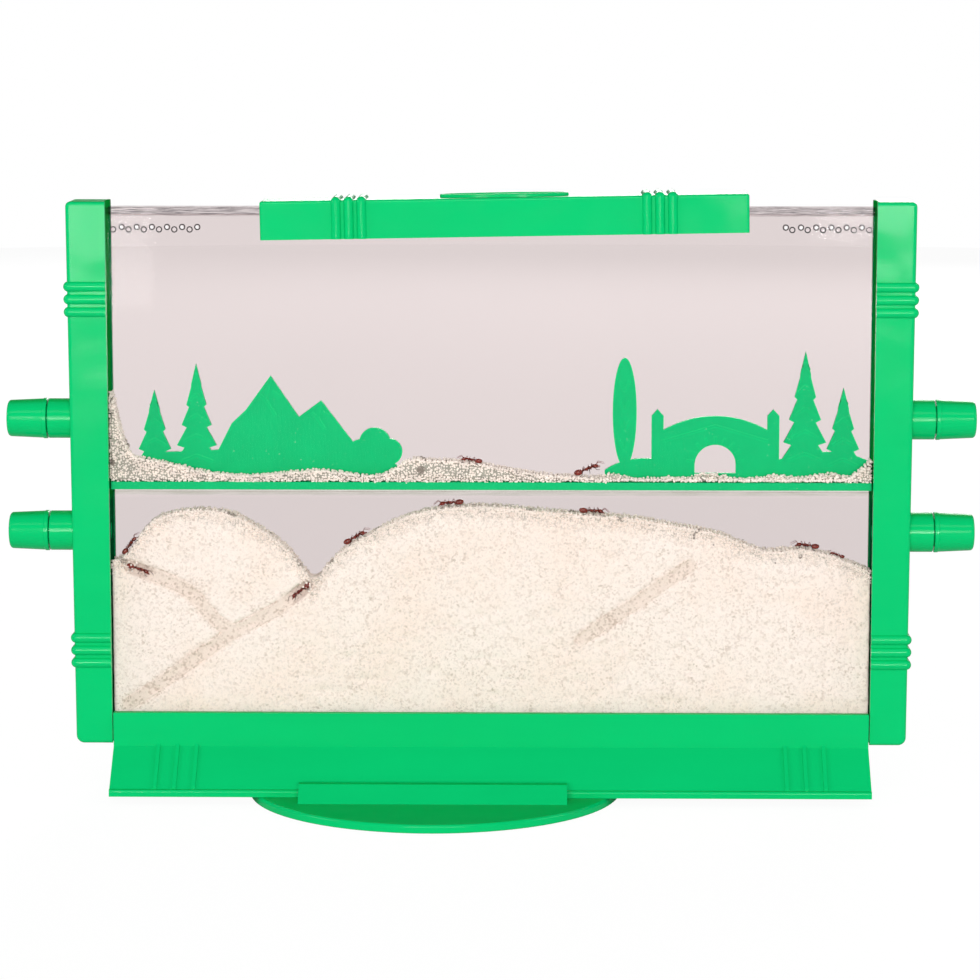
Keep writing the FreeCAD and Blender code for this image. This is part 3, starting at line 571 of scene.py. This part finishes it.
def packed_finish(name, pale, tan, gap):
    """Packed sand behind the panel: cloudy cream, coarser near the top with painted shade in the seams
    between grains, tan in the tunnels.
    """
    finish = Finish(name)
    place = finish.place()
    deep = finish.node("ShaderNodeAttribute", {"attribute_name": "deep"}, {}, "Fac")
    dug = finish.node("ShaderNodeAttribute", {"attribute_name": "dug"}, {}, "Fac")
    cloud = finish.noise(place, 0.03, 4.0, 0.6)
    warm = finish.mix(finish.step(cloud, 0.4, 0.68), four(pale),
                      four([part * warmth for part, warmth in zip(pale, WARMTH)]))
    fine = finish.noise(place, 1.05, 3.0, 0.7)
    blur = finish.noise(place, 0.16, 3.0)
    grain = finish.tones(place, 1.7)[0]
    shade = finish.mix(finish.step(fine, 0.5, 0.66) * (0.3 + blur * 0.5), warm,
                       four(scaled(pale, 0.74)))
    ragged = finish.step(dug * 1.1 + blur * 0.9 + fine * 0.5 + grain * 0.3, 0.95, 2.0)
    shade = finish.mix(ragged * 0.7, shade, four(tan))
    shade = finish.mix(finish.step(grain, 0.62, 1.0) * (0.1 + blur * 0.5 + ragged * 0.4), shade,
                       GRIT)
    dots = finish.noise(place, 0.9, 1.0)
    grit = finish.step(dots, 0.66, 0.72) * finish.step(blur + dug * 0.2, 0.42, 0.6)
    shade = finish.mix(grit * 0.5, shade, DARK_GRIT)
    warped = finish.node("ShaderNodeVectorMath", {"operation": "ADD"}, {0: place, 1: finish.node(
        "ShaderNodeTexNoise", {}, {"Vector": place, "Scale": 1.3, "Detail": 1.0}, "Color")})
    edges = finish.cells(warped, 1.15, "DISTANCE_TO_EDGE")
    top = 1.0 - finish.step(deep + blur * 0.5, 0.35, 1.15)
    # painted shade: dark seams between the coarser grains near the surface
    shaded_seam = (1.0 - finish.step(edges, 0.04, 0.2)) * finish.step(fine, 0.4, 0.6)
    shade = finish.mix(shaded_seam * top * 0.75, shade, four(gap))
    relief = finish.bump(finish.step(edges, 0.0, 0.3) * top + fine * 0.35, 0.09, 0.8)
    return finish.surface(finish.principled({
        "Base Color": shade, "Roughness": 0.88 - fine * 0.15, "Normal": relief,
        "Specular IOR Level": 0.12}))


def remeshed(node, name, voxel):
    """Closed even mesh made from a CAD node."""
    shape = bmesh.new()
    shape.from_mesh(NODES[node].data)
    bmesh.ops.remove_doubles(shape, verts=shape.verts, dist=0.002 * MM)
    mesh = bpy.data.meshes.new(name + "_rough")
    shape.to_mesh(mesh)
    shape.free()
    rough = bpy.data.objects.new(name + "_rough", mesh)
    bpy.context.scene.collection.objects.link(rough)
    remesh = rough.modifiers.new("remesh", "REMESH")
    remesh.mode = "VOXEL"
    remesh.voxel_size = voxel
    graph = bpy.context.evaluated_depsgraph_get()
    body = bpy.data.meshes.new_from_object(rough.evaluated_get(graph))
    bpy.data.objects.remove(rough)
    bpy.data.meshes.remove(mesh)
    body.name = name
    return body


def surface_tree(node):
    """Search tree of a CAD node's surface."""
    shape = bmesh.new()
    shape.from_mesh(NODES[node].data)
    tree = BVHTree.FromBMesh(shape)
    shape.free()
    return tree


def groove_at(tree, low, x, z):
    """How deep the sand's front is dug at a place, 0 on the flat."""
    hit = tree.ray_cast(Vector((x, low.y - MM, z)), Vector((0, 1, 0)))[0]
    if hit is None or hit.y > low.y + DEEPEST:
        return 0.0
    return hit.y - low.y


def packed_body(node, name, sand, shrink, lumps, material, spare=(), shallow=1.0):
    """Sand body from its CAD node: drawn in a little, lumpy, and with softened tunnels.

    The grooves keep their full depth near the spare places and the shallow share of it
    elsewhere. The front and back stand back a little under the surface. The mesh gets the
    attributes deep, 0 at the surface and 1 far below it, and dug, 1 in the grooves.
    """
    body = remeshed(node, name, sand.voxel)
    tree = surface_tree(node)
    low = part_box(node)[0]
    line = top_line(node, MM)
    shape = bmesh.new()
    shape.from_mesh(body)
    shape.normal_update()
    deep = shape.verts.layers.float.new("deep")
    dug = shape.verts.layers.float.new("dug")
    start = line[0][0]
    pace = (line[-1][0] - start) / (len(line) - 1)
    ring = [(reach * math.cos(turn), reach * math.sin(turn)) for reach in (1.1 * MM, 2.2 * MM)
            for turn in (0.0, 1.26, 2.51, 3.77, 5.03)]
    for vertex in shape.verts:
        co = vertex.co
        place = min(max((co.x - start) / pace, 0.0), len(line) - 1.001)
        i = int(place)
        top = line[i][1] + (place - i) * (line[i + 1][1] - line[i][1])
        vertex[deep] = min(max((top - co.z) / sand.coarse_depth, 0.0), 1.0)
        if co.y < low.y + 2.8 * MM:
            here = groove_at(tree, low, co.x, co.z)
            around = [groove_at(tree, low, co.x + dx, co.z + dz) for dx, dz in ring]
            vertex[dug] = min((here * 2 + sum(around)) / ((2 + len(ring)) * FULLY_DUG), 1.0)
            if here > 0.02 * MM and co.y < low.y + here + 0.6 * MM:
                away = min([(co - spot).length for spot in spare] + [1.0])
                keep = shallow + (1.0 - shallow) * max(0.0, 1.0 - away / SPARE_REACH)
                co.y = low.y + (co.y - low.y) * keep
        # faces that look up count as deep, which keeps the painted seam shade off them
        if vertex.normal.z > 0.6:
            vertex[deep] = 1.0
        elif abs(vertex.normal.y) > 0.7:
            patchy = 1.0 - vertex[deep] * (1.0 + 0.8 * noise.noise(co * (0.3 / MM)))
            patchy *= min(max((top - co.z) / CREST, 0.0), 1.0)
            co.y -= math.copysign(sand.recess * max(patchy, 0.0), vertex.normal.y)
        lump = noise.noise(co * (0.9 / MM)) * 0.6 + noise.noise(co * (0.35 / MM)) * 0.4
        vertex.co = co + vertex.normal * (lump * lumps - shrink)
    return new_piece(name, mesh_of(shape, name), material)


def top_line(node, step):
    """Points (x, z) of the top of a sand body, from rays cast down on its CAD mesh."""
    tree = surface_tree(node)
    low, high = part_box(node)
    front = low.y + 0.6 * MM
    line = []
    count = int((high.x - low.x) / step)
    for i in range(count + 1):
        x = low.x + 0.05 * MM + i * (high.x - low.x - 0.1 * MM) / count
        point = tree.ray_cast(Vector((x, front, high.z + 0.01)), Vector((0, 0, -1)))[0]
        if point:
            line.append((x, point.z))
    return line


def grain_shape():
    """Points and faces of a 20-sided grain of radius 1."""
    shape = bmesh.new()
    bmesh.ops.create_icosphere(shape, subdivisions=1, radius=1.0)
    points = [vertex.co.copy() for vertex in shape.verts]
    faces = [[vertex.index for vertex in face.verts] for face in shape.faces]
    shape.free()
    return points, faces


def scatter(name, places, radius, seed, material):
    """Grains at many places as one mesh; each is turned and stretched its own way."""
    dice = random.Random(seed)
    points, corners = grain_shape()
    vertices = []
    faces = []
    for place in places:
        size = radius * dice.uniform(0.65, 1.25)
        stretch = Matrix.Diagonal((size * dice.uniform(0.8, 1.25), size * dice.uniform(0.8, 1.15),
                                   size * dice.uniform(0.75, 1.05)))
        turn = Matrix.Rotation(dice.uniform(0, TURN), 3, "X")
        turn = Matrix.Rotation(dice.uniform(0, TURN), 3, "Z") @ turn @ stretch
        start = len(vertices)
        vertices.extend(turn @ point + place for point in points)
        faces.extend([start + corner for corner in face] for face in corners)
    mesh = bpy.data.meshes.new(name)
    mesh.from_pydata(vertices, [], faces)
    return new_piece(name, mesh, material)


def height_over(line, x):
    """Height of a line of (x, z) points at x."""
    for (x0, z0), (x1, z1) in zip(line[:-1], line[1:]):
        if x0 <= x <= x1:
            return z0 + (x - x0) / (x1 - x0) * (z1 - z0)
    return line[0][1] if x < line[0][0] else line[-1][1]


def faced_layer(line, floor, y, depth, pitch, seed, thinning=1.0):
    """Places of grains pressed against a panel at y, in a band under a surface line."""
    dice = random.Random(seed)
    places = []
    x, end = line[0][0], line[-1][0]
    while x < end:
        top = height_over(line, x)
        z = top
        while z > max(floor, top - depth):
            share = (top - z) / depth
            if dice.random() > share * thinning:
                places.append(Vector((x + dice.uniform(-0.35, 0.35) * pitch,
                                      y - math.copysign(dice.uniform(0.0, 0.2) * MM, y),
                                      z + dice.uniform(-0.35, 0.35) * pitch)))
            z -= pitch
        x += pitch
    return places


def topping(line, half, pitch, drop, rise, seed):
    """Places of grains that lie on a surface line, over the whole depth of the chamber."""
    dice = random.Random(seed)
    places = []
    for (x0, z0), (x1, z1) in zip(line[:-1], line[1:]):
        rows = max(1, round(math.hypot(x1 - x0, z1 - z0) / pitch))
        for row in range(rows):
            share = (row + dice.random()) / rows
            y = -half
            while y < half:
                places.append(Vector((x0 + share * (x1 - x0), y + dice.uniform(0, 0.5) * pitch,
                                      z0 + share * (z1 - z0) + dice.uniform(-drop, rise))))
                y += pitch
    return places


class HABITAT_OT_lower_sand(bpy.types.Operator):
    """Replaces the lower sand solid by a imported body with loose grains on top."""

    bl_idname = "habitat.lower_sand"
    bl_label = "Lower sand"

    def execute(self, context):
        sand = settings()["sand"]
        packed = packed_finish("packed_sand", sand.pale, sand.tan, sand.gap)
        loose = grain_finish("loose_sand", sand.pale, sand.dark, 0.35, 0.02)
        crawlers = [sum(points, Vector()) / len(points) for points in islands(NODES["ants"].data)]
        body = packed_body("sand_bed", "sand_packed", sand, shrink=0.06 * MM, lumps=0.12 * MM,
                           material=packed, spare=crawlers, shallow=0.14)
        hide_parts("sand_bed")
        low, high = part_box("sand_bed")
        half = high.y - sand.grain
        line = top_line("sand_bed", 1.2 * MM)
        places = topping(line, half, pitch=2.0 * sand.grain, drop=0.5 * MM, rise=0.3 * MM, seed=11)
        top = scatter("sand_loose_top", places, sand.grain, 12, loose)
        pressed = []
        for side, seed in ((-1, 13), (1, 14)):
            pressed += faced_layer(line, low.z + MM, side * (half - 0.02 * MM),
                                   sand.coarse_depth, pitch=2.0 * sand.grain, seed=seed,
                                   thinning=0.85)
        sides = scatter("sand_loose_sides", pressed, sand.grain * 0.95, 15, loose)
        return {"FINISHED"}


class HABITAT_OT_upper_sand(bpy.types.Operator):
    """Replaces the sand on the ledge by loose grains over a small packed core, painted dark as the
    shade between the grains.
    """

    bl_idname = "habitat.upper_sand"
    bl_label = "Upper sand"

    def execute(self, context):
        sand = settings()["sand"]
        grains = grain_finish("ledge_sand", sand.pale, sand.dark, 0.4, 0.015)
        # the core is painted dark as the shade between the grains
        core = grain_finish("ledge_shaded_core", sand.core, sand.dark, 0.5, 0.05)
        body = packed_body("upper_sand", "sand_drift", sand, shrink=0.35 * MM, lumps=0.25 * MM,
                           material=core)
        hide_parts("upper_sand")
        low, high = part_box("upper_sand")
        ledge_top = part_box("ledge")[1].z
        plate_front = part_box("scenery_left")[0].y
        front = low.y + sand.grain
        line = top_line("upper_sand", 0.7 * MM)
        pitch = 1.8 * sand.grain
        whole = {"depth": 60 * MM, "pitch": pitch, "thinning": 0.0}
        places = faced_layer(line, ledge_top, front, seed=21, **whole)
        places += faced_layer(line, ledge_top, front + 0.5 * MM, seed=26, **whole)
        places += [place for place in topping(line, high.y - sand.grain, pitch, drop=0.4 * MM,
                                              rise=0.35 * MM, seed=22)
                   if place.y < plate_front - sand.grain or not self.on_plate(place.x)]
        places += [place for place in faced_layer(line, ledge_top, high.y - sand.grain,
                                                  seed=23, **whole)
                   if not self.on_plate(place.x)]
        places += self.crumbs(low, high, ledge_top, front, plate_front - sand.grain)
        piece = scatter("sand_ledge_grains", places, sand.grain, 24, grains)
        return {"FINISHED"}

    def on_plate(self, x):
        """Whether a silhouette stands over a place on the ledge."""
        for node in ("scenery_left", "scenery_right"):
            low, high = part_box(node)
            if low.x - 0.5 * MM < x < high.x + 0.5 * MM:
                return True
        return False

    def crumbs(self, low, high, floor, front, back):
        """Small piles of grains along the foot of the right silhouette."""
        dice = random.Random(25)
        span = high.x - low.x
        places = []
        for share, spread, count, rise in CRUMB_PILES:
            for _ in range(count):
                away = dice.gauss(0, 0.5)
                x = low.x + span * (share + away * spread)
                z = floor + 0.35 * MM + dice.random() * rise * math.exp(-2 * away * away) * MM
                if x < high.x - 0.4 * MM:
                    places.append(Vector((x, dice.uniform(front, back), z)))
        return places


def ant_finish(brown):
    """Polished reddish brown skin with darker mottling."""
    finish = Finish("ant_skin")
    place = finish.place()
    mottle = finish.noise(place, 1.8, 3.0)
    shade = finish.mix(finish.step(mottle, 0.3, 0.7), four(brown), four(scaled(brown, 0.4)))
    pits = finish.bump(finish.noise(place, 9.0, 2.0), 0.03)
    return finish.surface(finish.principled({
        "Base Color": shade, "Roughness": 0.16 + mottle * 0.2, "Normal": pits}))


def add_ball(shape, centre, radii, turn=0.0):
    """Ellipsoid in an ant's own frame."""
    made = bmesh.ops.create_uvsphere(shape, u_segments=16, v_segments=10, radius=1.0)["verts"]
    change = Matrix.Rotation(turn, 4, "Y") @ Matrix.Diagonal((*radii, 1.0))
    bmesh.ops.transform(shape, matrix=change, verts=made)
    bmesh.ops.translate(shape, vec=centre, verts=made)


def add_limb(shape, points, thick, thin):
    """Jointed limb of tapered rods through a few points."""
    count = len(points) - 1
    for i in range(count):
        start, end = Vector(points[i]), Vector(points[i + 1])
        run = end - start
        r0 = thick + (thin - thick) * i / count
        r1 = thick + (thin - thick) * (i + 1) / count
        made = bmesh.ops.create_cone(shape, cap_ends=True, segments=6, radius1=r0, radius2=r1,
                                     depth=run.length)["verts"]
        turn = run.to_track_quat("Z", "Y").to_matrix().to_4x4()
        bmesh.ops.transform(shape, matrix=Matrix.Translation((start + end) / 2) @ turn, verts=made)


# an ant of length 1 facing +X: centre, radii and tilt of each rounded part
ANT_BALLS = (
    ((-0.33, 0, 0.005), (0.175, 0.118, 0.112), 0.12),    # abdomen
    ((-0.13, 0, 0.02), (0.028, 0.032, 0.05), 0.0),       # waist
    ((-0.075, 0, 0.015), (0.03, 0.038, 0.042), 0.0),
    ((0.0, 0, 0.012), (0.075, 0.055, 0.06), -0.2),       # thorax
    ((0.1, 0, 0.03), (0.075, 0.062, 0.066), 0.1),
    ((0.19, 0, 0.02), (0.05, 0.045, 0.045), 0.0),
    ((0.34, 0, 0.01), (0.12, 0.1, 0.082), 0.25),         # head
)
ANT_BANDS = (-0.43, -0.36, -0.29, -0.23)                 # places of the abdomen's bands
# root, knee, shin and foot of each left leg, as (x, y)
ANT_LEGS = (((0.15, 0.14), (0.24, 0.3), (0.36, 0.42), (0.46, 0.47)),
            ((0.09, 0.12), (0.1, 0.33), (0.08, 0.48), (0.06, 0.56)),
            ((0.02, 0.12), (-0.1, 0.32), (-0.24, 0.45), (-0.36, 0.52)))


def ant_shape(leg):
    """Ant of length 1 facing +X: bands, waist, three-part thorax, head, limbs and feelers."""
    shape = bmesh.new()
    for centre, radii, tilt in ANT_BALLS:
        add_ball(shape, centre, radii, tilt)
    for x in ANT_BANDS:
        ring = 0.121 * math.sqrt(max(0.1, 1 - ((x + 0.33) / 0.18) ** 2))
        add_ball(shape, (x, 0, 0.005), (0.03, ring, ring * 0.95), 0.12)
    for side in (-1, 1):
        add_ball(shape, (0.37, 0.085 * side, 0.035), (0.022, 0.014, 0.022))
        add_limb(shape, [(0.43, 0.045 * side, -0.03), (0.5, 0.05 * side, -0.055),
                         (0.52, 0.012 * side, -0.06)], leg * 1.5, leg * 0.5)
        add_limb(shape, [(0.4, 0.04 * side, 0.05), (0.5, 0.16 * side, 0.13),
                         (0.62, 0.2 * side, 0.05), (0.7, 0.18 * side, -0.01)], leg * 0.7, leg * 0.4)
        for root, knee, shin, foot in ANT_LEGS:
            add_limb(shape, [(root[0], 0.04 * side, -0.02), (root[0], root[1] * side * 0.6, -0.05),
                             (knee[0], knee[1] * side, 0.11), (shin[0], shin[1] * side, -0.12),
                             (foot[0], foot[1] * side, -0.16)], leg, leg * 0.5)
    return shape


def islands(mesh):
    """Groups of joined vertices of a mesh."""
    shape = bmesh.new()
    shape.from_mesh(mesh)
    bmesh.ops.remove_doubles(shape, verts=shape.verts, dist=0.001 * MM)
    shape.verts.index_update()
    seen = set()
    groups = []
    for first in shape.verts:
        if first.index in seen:
            continue
        seen.add(first.index)
        group = [first]
        for vertex in group:
            for edge in vertex.link_edges:
                other = edge.other_vert(vertex)
                if other.index not in seen:
                    seen.add(other.index)
                    group.append(other)
        groups.append([vertex.co.copy() for vertex in group])
    shape.free()
    return sorted(groups, key=lambda group: (round(group[0].x, 5), round(group[0].z, 5)))


def ant_axis(points):
    """Tail and nose of an ant's CAD body; the abdomen is the thick end."""
    low = min(points, key=lambda p: p.x)
    tail = max(points, key=lambda p: (p - low).length)
    nose = max(points, key=lambda p: (p - tail).length)
    run = nose - tail
    length = run.length
    run.normalize()

    def girth(end, towards):
        close = [p - end for p in points if (p - end).dot(towards) < 0.4 * length]
        return max((p - towards * p.dot(towards)).length for p in close)

    if girth(tail, run) < girth(nose, -run):
        tail, nose = nose, tail
    return tail, nose


class HABITAT_OT_ants(bpy.types.Operator):
    """Puts a detailed ant in the place of each ant solid."""

    bl_idname = "habitat.ants"
    bl_label = "Ants"

    def execute(self, context):
        ant = settings()["ant"]
        shape = bmesh.new()
        template = bpy.data.meshes.new("ant_template")
        model = ant_shape(ant.leg_share)
        bmesh.ops.recalc_face_normals(model, faces=model.faces)
        model.to_mesh(template)
        model.free()
        for points in islands(NODES["ants"].data):
            tail, nose = ant_axis(points)
            middle = (tail + nose) / 2
            length = (nose - tail).length
            ahead = (nose - tail).normalized()
            on_panel = middle.y < -3.0 * MM
            up = Vector((0, -1, 0)) if on_panel else Vector((0, 0, 1))
            side = up.cross(ahead).normalized()
            up = ahead.cross(side)
            turn = Matrix((ahead, side, up)).transposed().to_4x4()
            start = len(shape.verts)
            shape.from_mesh(template)
            shape.verts.ensure_lookup_table()
            bmesh.ops.transform(shape, matrix=Matrix.Translation(middle) @ turn
                                @ Matrix.Scale(length, 4), verts=shape.verts[start:])
        bpy.data.meshes.remove(template)
        low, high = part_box("sand_bed")
        for vertex in shape.verts:
            vertex.co.y = max(low.y, min(high.y, vertex.co.y))
        piece = new_piece("ant_bodies", mesh_of(shape, "ant_bodies"), ant_finish(ant.brown))
        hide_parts("ants")
        return {"FINISHED"}


def soft_lamp(name, place, target, size, watts):
    """Soft rectangular lamp that faces a point."""
    lamp = bpy.data.lights.new(name, "AREA")
    lamp.shape = "RECTANGLE"
    lamp.size, lamp.size_y = size
    lamp.energy = watts
    holder = bpy.data.objects.new(name, lamp)
    holder.location = place
    holder.rotation_euler = (Vector(target) - Vector(place)).to_track_quat("-Z", "Y").to_euler()
    holder.visible_camera = False
    bpy.context.scene.collection.objects.link(holder)


def floor_finish():
    """White floor: white to the eye, with the object's faint soft shadow."""
    finish = Finish("white_floor")
    camera = finish.node("ShaderNodeLightPath", output="Is Camera Ray")
    shadow = finish.node("ShaderNodeBsdfDiffuse", {}, {"Color": (0.07, 0.07, 0.07, 1)}, "BSDF")
    glow = finish.node("ShaderNodeEmission", {}, {"Color": (1, 1, 1, 1), "Strength": 0.95},
                       "Emission")
    seen = finish.node("ShaderNodeAddShader", {}, {0: shadow, 1: glow}, "Shader")
    plain = finish.node("ShaderNodeBsdfDiffuse", {}, {"Color": (0.7, 0.7, 0.7, 1)}, "BSDF")
    return finish.surface(finish.blended(camera, plain, seen))


def white_world(strength, mirrored):
    """World that is white to the eye, gives a plain even light and is dim in reflections."""
    world = bpy.data.worlds.new("white_world")
    nodes = Nodes(world)
    camera, through, glossy = nodes.node(
        "ShaderNodeLightPath", output=("Is Camera Ray", "Is Transmission Ray", "Is Glossy Ray"))
    seen = nodes.node("ShaderNodeMath", {"operation": "MAXIMUM"}, {0: camera, 1: through})
    even = strength + glossy * (mirrored - strength)
    background = nodes.node("ShaderNodeBackground", {}, {
        "Color": (1, 1, 1, 1), "Strength": even + seen * (1.0 - even)}, "Background")
    nodes.node("ShaderNodeOutputWorld", {}, {"Surface": background}, None)
    bpy.context.scene.world = world


MIDDLE = (0, 0, 0.1)
# the soft lamps and two cards mirrored in the frames: name, place, target, size, watts
LAMPS = (
    ("lamp_front", (0.0, -2.6, 0.62), MIDDLE, (1.5, 0.6), 30.5),
    ("lamp_high", (0.0, -1.25, 1.35), MIDDLE, (1.3, 0.42), 5),
    ("lamp_left", (-1.7, -0.5, 0.7), MIDDLE, (0.7, 0.7), 8),
    ("lamp_right", (1.7, -0.4, 0.7), MIDDLE, (0.7, 0.7), 7),
    ("lamp_back", (0.3, 2.0, 0.8), MIDDLE, (1.2, 0.7), 31),
    ("card_left", (-0.31, -1.2, 0.18), (-0.12, 0, 0.15), (0.14, 0.27), 2.6),
    ("card_right", (0.275, -1.5, 0.205), (0.12, 0, 0.17), (0.12, 0.27), 3.3),
)


class HABITAT_OT_stage(bpy.types.Operator):
    """Sets the camera, the lamps, the white world and the floor."""

    bl_idname = "habitat.stage"
    bl_label = "Stage"

    def execute(self, context):
        stage = settings()["stage"]
        scene = context.scene
        scene.view_settings.view_transform = "Standard"
        camera = bpy.data.cameras.new("photo_camera")
        camera.lens = stage.lens
        camera.sensor_width = 36.0
        holder = bpy.data.objects.new("photo_camera", camera)
        holder.location = stage.camera_place
        holder.rotation_euler = (math.pi / 2 - stage.camera_down, 0, stage.camera_turn)
        scene.collection.objects.link(holder)
        scene.camera = holder

        floor = bmesh.new()
        bmesh.ops.create_circle(floor, cap_ends=True, segments=96, radius=2.5)
        piece = bpy.data.objects.new("floor", mesh_of(floor, "floor"))
        piece.data.materials.append(floor_finish())
        scene.collection.objects.link(piece)

        white_world(stage.world_light, stage.mirrored_light)
        for name, place, target, size, watts in LAMPS:
            soft_lamp(name, place, target, size, watts * stage.lamp_light)
        return {"FINISHED"}


class HABITAT_PT_panel(bpy.types.Panel):
    """Lists the steps and their settings."""

    bl_label = "Ant habitat"
    bl_idname = "HABITAT_PT_panel"
    bl_space_type = "VIEW_3D"
    bl_region_type = "UI"
    bl_category = "Habitat"

    def draw(self, context):
        layout = self.layout
        for operator in OPERATORS:
            layout.operator(operator.bl_idname)
        for group in settings().values():
            column = layout.column()
            for name in group.bl_rna.properties.keys():
                if name not in ("rna_type", "name"):
                    column.prop(group, name)


GROUPS = {"habitat_moulded": MouldedSettings, "habitat_panel": PanelSettings,
          "habitat_sand": SandSettings, "habitat_ant": AntSettings,
          "habitat_stage": StageSettings}
OPERATORS = (HABITAT_OT_moulded_parts, HABITAT_OT_panels, HABITAT_OT_lower_sand,
             HABITAT_OT_upper_sand, HABITAT_OT_ants, HABITAT_OT_stage)


def register():
    """Registers the classes and puts the settings on the scene."""
    for name, group in GROUPS.items():
        bpy.utils.register_class(group)
        setattr(bpy.types.Scene, name, bpy.props.PointerProperty(type=group))
    for operator in OPERATORS:
        bpy.utils.register_class(operator)
    bpy.utils.register_class(HABITAT_PT_panel)


def unregister():
    """Takes the classes and the settings away again."""
    bpy.utils.unregister_class(HABITAT_PT_panel)
    for operator in reversed(OPERATORS):
        bpy.utils.unregister_class(operator)
    for name, group in GROUPS.items():
        delattr(bpy.types.Scene, name)
        bpy.utils.unregister_class(group)


def main():
    """Dresses the habitat step by step."""
    register()
    bpy.ops.habitat.moulded_parts()
    bpy.ops.habitat.panels()
    bpy.ops.habitat.lower_sand()
    bpy.ops.habitat.upper_sand()
    bpy.ops.habitat.ants()
    bpy.ops.habitat.stage()


if __name__ == "__main__":
    main()
